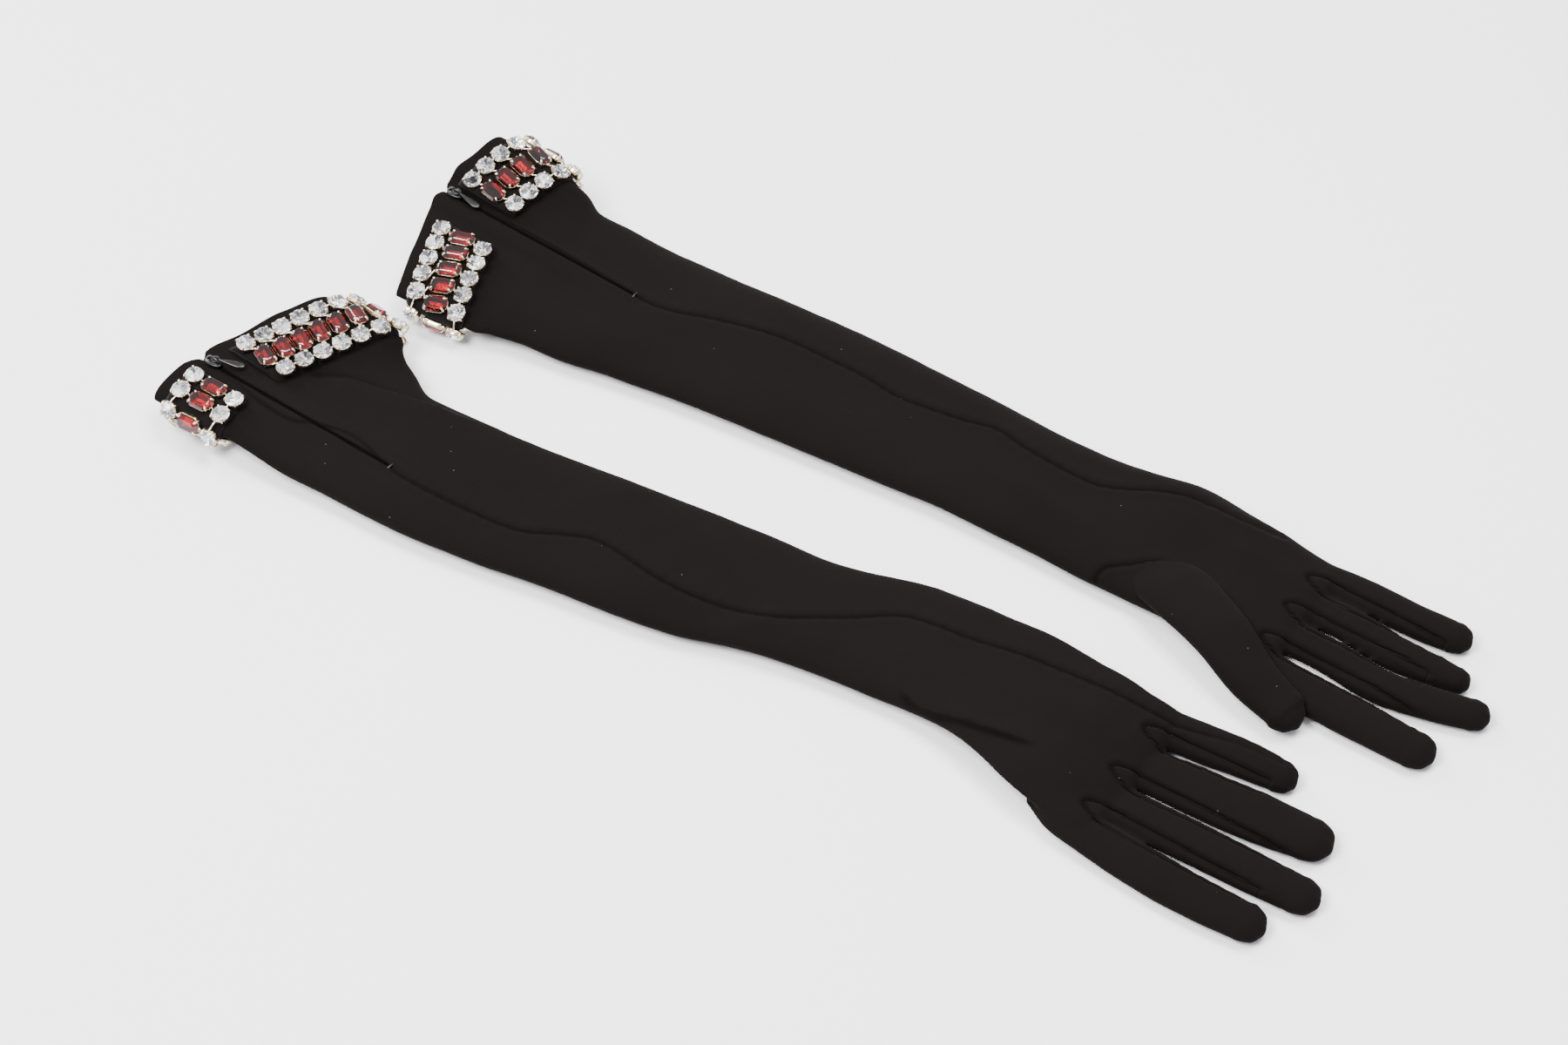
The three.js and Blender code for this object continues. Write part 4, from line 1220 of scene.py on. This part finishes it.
# The foil colours run from a painted dark reflection to a painted bright one, and the clear foil's brightest
# facets also glow as painted glints.
RED_FINISH = (lead_glass("red_lead_glass", "#a40008", gloss=0.2),
              foil_back("red_foil_back", "#240003", "#c4000c"))
CLEAR_FINISH = (lead_glass("clear_lead_glass", "#f6f7fa"),
                foil_back("silver_foil_back", "#55565b", "#ffffff", painted_glint_strength=1.6))
plating = champagne_plating("champagne_plating")


def set_facets(obj, kinds, finish, seed):
    """Crown faces take the glass, pavilion faces the foil, and each facet its own painted reflection tone."""
    for material in finish:
        obj.data.materials.append(material)
    painted_reflection_tones = obj.data.attributes.new("painted_facet_reflection", "FLOAT", "FACE")
    chance = np.random.default_rng(seed)
    # Each facet gets a random painted reflection tone, which the foil turns into dark or bright.
    painted_reflection_tones.data.foreach_set("value", chance.random(len(obj.data.polygons)) ** 0.8)
    obj.data.polygons.foreach_set("material_index", kinds)


def stone_piece(name, frames, shape, finish, seed):
    """The stones of one node as one flat-faced mesh."""
    verts, faces, kinds = [], [], []
    for frame in frames:
        points, stone_faces, stone_kinds = placed(shape, frame)
        base = len(verts)
        verts += list(points)
        faces += [tuple(base + i for i in face) for face in stone_faces]
        kinds += stone_kinds
    obj = mesh_object(name, verts, faces, smooth=False)
    set_facets(obj, kinds, finish, seed)
    return obj


def metal_piece(name, parts):
    obj = mesh_object(name, *combined(parts), plating, smooth=False)
    obj.data.polygons.foreach_set("use_smooth", [len(p.vertices) == 4 for p in obj.data.polygons])
    return obj

# %% [markdown]
# Short lengths of wire link the settings: one along each row, from one cup to the next, and one between
# the rows at every column. They keep the stones in step as the cuff bends.

# %% Set the stones
WIRE = 0.42
NODE_SPANS = {"front": lambda f, first, last: f[:first], "under": lambda f, first, last: f[first:len(f) - last],
              "back": lambda f, first, last: f[len(f) - last:]}


def links(frames, stone, height=1.7):
    """A wire between each pair of neighbours in a row."""
    wires = []
    for (seat_a, across_a, along_a, out_a), (seat_b, across_b, along_b, out_b) in zip(frames, frames[1:]):
        reach = stone["along"] / 2 - 0.5
        start = seat_a + along_a * reach + out_a * height
        end = seat_b - along_b * reach + out_b * height
        wires.append(rod([start, (start + end) / 2, end], WIRE, 6))
    return wires


def rails(frames, height=2.3):
    """The two thin wires that run past both ends of the red settings and keep them in line."""
    made = []
    for side in (-1, 1):
        path = [seat + across * side * (RED["across"] / 2 + 0.35) + out * height
                for seat, across, _, out in frames]
        made.append(rod(path, WIRE * 0.9, 6))
    return made


def row_ties(red_frames, crystal_frames, side):
    """One wire from each red setting across to the crystal beside it."""
    ties = []
    for seat, across, along, out in red_frames:
        near = min(crystal_frames, key=lambda other: np.linalg.norm(other[0] - seat))
        start = seat + across * side * (RED["across"] / 2 - 0.4) + out * 1.5
        end = near[0] - near[1] * side * (CRYSTAL["across"] / 2 - 0.5) + near[3] * 1.5
        if np.linalg.norm(end - start) < 6:
            ties.append(rod([start, (start + end) / 2, end], WIRE, 6))
    return ties


RED_CUP, CRYSTAL_CUP = red_setting(), crystal_setting()
seed = 1
for side, glove in GLOVES.items():
    first, last = glove["columns"]
    red = STONE_FRAMES[side, "red"]
    shown = NODE_SPANS["front"](red, first, last) + NODE_SPANS["back"](red, first, last)
    groups = [(f"red_stone_{i + 1:02d}", [frame], "red") for i, frame in enumerate(shown)]
    groups.append(("red_stones_under", NODE_SPANS["under"](red, first, last), "red"))
    for row in ("outer", "inner"):
        for span, pick in NODE_SPANS.items():
            groups.append((f"crystals_{row}_{span}", pick(STONE_FRAMES[side, row], first, last), row))
    for node, frames, row in groups:
        seed += 1
        is_red = row == "red"
        glass = stone_piece(f"{side}_{node}_glass", frames, RED_SHAPE if is_red else CRYSTAL_SHAPE,
                            RED_FINISH if is_red else CLEAR_FINISH, seed)
        parts = [placed(RED_CUP if is_red else CRYSTAL_CUP, frame) for frame in frames]
        parts += links(frames, RED if is_red else CRYSTAL)
        if is_red and len(frames) > 1:
            parts += rails(frames)
        if not is_red:
            parts += row_ties(red, frames, -1 if row == "outer" else 1)
        setting = metal_piece(f"{side}_{node}_setting", parts)
        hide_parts(f"{side}_{node}")
        for piece in (glass, setting):
            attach(piece, f"{side}_glove")

# %% [markdown]
# ## The zips
# Each zip is a fine concealed one: a coil of nylon sewn to each tape, hidden between two folded lips of
# cloth, with a slim slider. Only the slider's body and its teardrop puller stand above the cloth. The
# puller is cast zinc with a glossy black lacquer.

# %% Zip materials
def black_lacquer(name):
    """Sprayed gloss lacquer over cast zinc: deep black, sharp highlights, slightly orange-peeled."""
    material, tree, output = new_material(name)
    where = add(tree, "ShaderNodeTexCoord").outputs["Object"]
    peel = add(tree, "ShaderNodeTexNoise", {"Scale": 1 / (0.7 * MM), "Detail": 2.0}, Vector=where)
    tone = add(tree, "ShaderNodeMix", {"data_type": "RGBA", "A": linear("#030303"), "B": linear("#070707")},
               Factor=peel.outputs["Fac"])
    bump = add(tree, "ShaderNodeBump", {"Strength": 0.12, "Distance": 0.03 * MM}, Height=peel.outputs["Fac"])
    shader = add(tree, "ShaderNodeBsdfPrincipled", {
        "Roughness": 0.34, "Specular IOR Level": 0.3, "Coat Weight": 0.2, "Coat Roughness": 0.1,
    }, Base_Color=tone.outputs["Result"], Normal=bump.outputs["Normal"])
    tree.links.new(shader.outputs["BSDF"], output.inputs["Surface"])
    return material


def nylon_tape(name):
    """Woven nylon ribbon with its coil: black, tight, slightly shinier than the jersey."""
    material, tree, output = new_material(name)
    where = add(tree, "ShaderNodeTexCoord").outputs["Object"]
    threads = add(tree, "ShaderNodeTexWave", {"Scale": 1 / (0.6 * MM) / 20 * math.pi, "Distortion": 0.5,
                                              "bands_direction": "X"}, Vector=where)
    tone = add(tree, "ShaderNodeMix", {"data_type": "RGBA", "A": linear("#040303"), "B": linear("#080606")},
               Factor=threads.outputs["Fac"])
    bump = add(tree, "ShaderNodeBump", {"Strength": 0.4, "Distance": 0.1 * MM},
               Height=threads.outputs["Fac"])
    shader = add(tree, "ShaderNodeBsdfPrincipled", {"Roughness": 0.9, "Specular IOR Level": 0.04},
                 Base_Color=tone.outputs["Result"], Normal=bump.outputs["Normal"])
    tree.links.new(shader.outputs["BSDF"], output.inputs["Surface"])
    return material


lacquer = black_lacquer("black_lacquer")
nylon = nylon_tape("nylon_tape")

# %% Build the zips
TAPE_THICKNESS = 1.2
ZIP_SLOT = 6.3
SLIDER = {"long": 8, "wide": 4.6, "high": 2.2}
PULLER = {"long": 14, "wide": 3.8, "thick": 1.1}
PULLER_TURN = {"left": 26, "right": -3}
COIL_PITCH = 1.3


def zip_place(glove):
    start, along, side, up = zip_frame(glove)
    return lambda s, d, h: start + along * s + side * d + up * h


def lofted(rings):
    """A closed body through rings of points."""
    count = len(rings[0])
    verts = [tuple(p) for ring in rings for p in ring]
    faces = ring_faces(len(rings), count)
    faces += [tuple(range(count))[::-1], tuple((len(rings) - 1) * count + i for i in range(count))]
    return verts, faces


def tape(glove, way):
    """One tape: a flat ribbon under the lip, and a row of coil teeth along its inner edge."""
    place = zip_place(glove)
    ribbon = lofted([[place(s, way * d, h) for d, h in ((0.35, -0.6), (2.9, -0.6), (2.9, -0.25), (0.35, -0.1))]
                     for s in np.linspace(0.8, ZIP_LENGTH - 0.3, 60)])
    teeth = [rod([place(s + 0.2 * way, way * 0.2, -0.35), place(s, way * 0.6, 0.02),
                  place(s - 0.2 * way, way * 1.05, -0.3)],
                 0.3, 6) for s in np.arange(1.6, ZIP_LENGTH - 1, COIL_PITCH)]
    return combined([ribbon, *teeth])


def rounded_plate(place, outline, low, high, edge=0.35):
    """A plate with softened upper and lower edges, from an outline given as distances and offsets."""
    middle = np.mean(outline, axis=0)
    levels = [(low, 1 - edge / 2.4), (low + edge, 1), (high - edge, 1), (high, 1 - edge / 2.4)]
    return lofted([[place(*(middle + (np.array(p) - middle) * scale), h) for p in outline]
                   for h, scale in levels])


def slider(glove):
    """A heart-shaped body with a shallow waist, and a bridge that holds the puller's pin."""
    place = zip_place(glove)
    seat = TAPE_THICKNESS / 2 + GAP
    plate_top = seat + SLIDER["high"] * 0.6
    t = np.linspace(0, 2 * math.pi, 40, endpoint=False)
    reach = 1 + SLIDER["long"] / 2 + SLIDER["long"] / 2 * np.cos(t)
    width = SLIDER["wide"] / 2 * np.sign(np.sin(t)) * np.abs(np.sin(t)) ** 0.75 * (1 - 0.16 * np.cos(t))
    body = rounded_plate(place, np.stack([reach, width], 1), seat, plate_top - 0.25)
    raised = rounded_plate(place, np.stack([1 + SLIDER["long"] / 2 + (reach - 1 - SLIDER["long"] / 2) * 0.72,
                                            width * 0.6], 1), plate_top - 0.3, plate_top, 0.15)
    centre = 1 + SLIDER["long"] / 2
    arch = [(centre + 2.9 * math.cos(a), 0, plate_top - 0.2 + 2.05 * math.sin(a))
            for a in np.linspace(0, math.pi, 15)]
    bridge = rod([place(*p) for p in arch], 0.62, 8)
    return combined([body, raised, bridge])


def puller(glove, side):
    """A ring through the bridge, a neck, and a domed teardrop blade."""
    start, along, across, up = zip_frame(glove)
    turn = math.radians(PULLER_TURN[side])
    reach = along * math.cos(turn) + across * math.sin(turn)
    axis = across * math.cos(turn) - along * math.sin(turn)
    pivot = zip_place(glove)(1 + SLIDER["long"] / 2, 0, TAPE_THICKNESS / 2 + GAP + SLIDER["high"] * 0.6 + 1.2)
    fall = unit(reach - up * 0.11)
    lift = np.cross(fall, axis)
    loop = [pivot + fall * (1.1 + 1.55 * math.cos(a)) + axis * 1.5 * math.sin(a)
            for a in np.linspace(0.5, 2 * math.pi - 0.5, 20)]
    ring = rod(loop, 0.42, 8)
    rows = [(0.17, 0.30, 0.9), (0.22, 0.26, 0.95), (0.30, 0.34, 0.9), (0.42, 0.56, 0.95), (0.56, 0.78, 1.0),
            (0.70, 0.94, 1.0), (0.80, 1.0, 1.0), (0.89, 0.90, 0.95), (0.95, 0.66, 0.8), (0.99, 0.3, 0.5)]
    blade = lofted([[pivot + fall * t * PULLER["long"] + axis * w * PULLER["wide"] / 2 * math.cos(a)
                     + lift * h * PULLER["thick"] / 2 * math.sin(a) for a in np.arange(16) * math.pi / 8]
                    for t, w, h in rows])
    return combined([ring, blade])


def bottom_stop(glove):
    """A staple clamped over both tapes at the zip's lower end."""
    place = zip_place(glove)
    crown = [place(ZIP_LENGTH + 1.4, d, h) for d, h in ((-2.2, -1.0), (-1.9, -0.4), (-1, -0.2), (0, -0.15),
                                                        (1, -0.2), (1.9, -0.4), (2.2, -1.0))]
    return rod(crown, 0.5, 8)


for side, glove in GLOVES.items():
    made = [
        ("zip_tape_front", tape(glove, -1), nylon, "glove", "zip_tape"),
        ("zip_tape_back", tape(glove, 1), nylon, "glove", "zip_tape"),
        ("zip_bottom_stop", bottom_stop(glove), lacquer, "glove", "black_lacquered_metal"),
        ("zip_slider", slider(glove), lacquer, "zip_slider", "black_lacquered_metal"),
        ("zip_puller", puller(glove, side), lacquer, "zip_puller", "black_lacquered_metal"),
    ]
    for node, shape, material, body, slot in made:
        piece = mesh_object(f"{side}_{node}_fine", *shape, material)
        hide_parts(f"{side}_{node}")
        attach(piece, f"{side}_{body}")
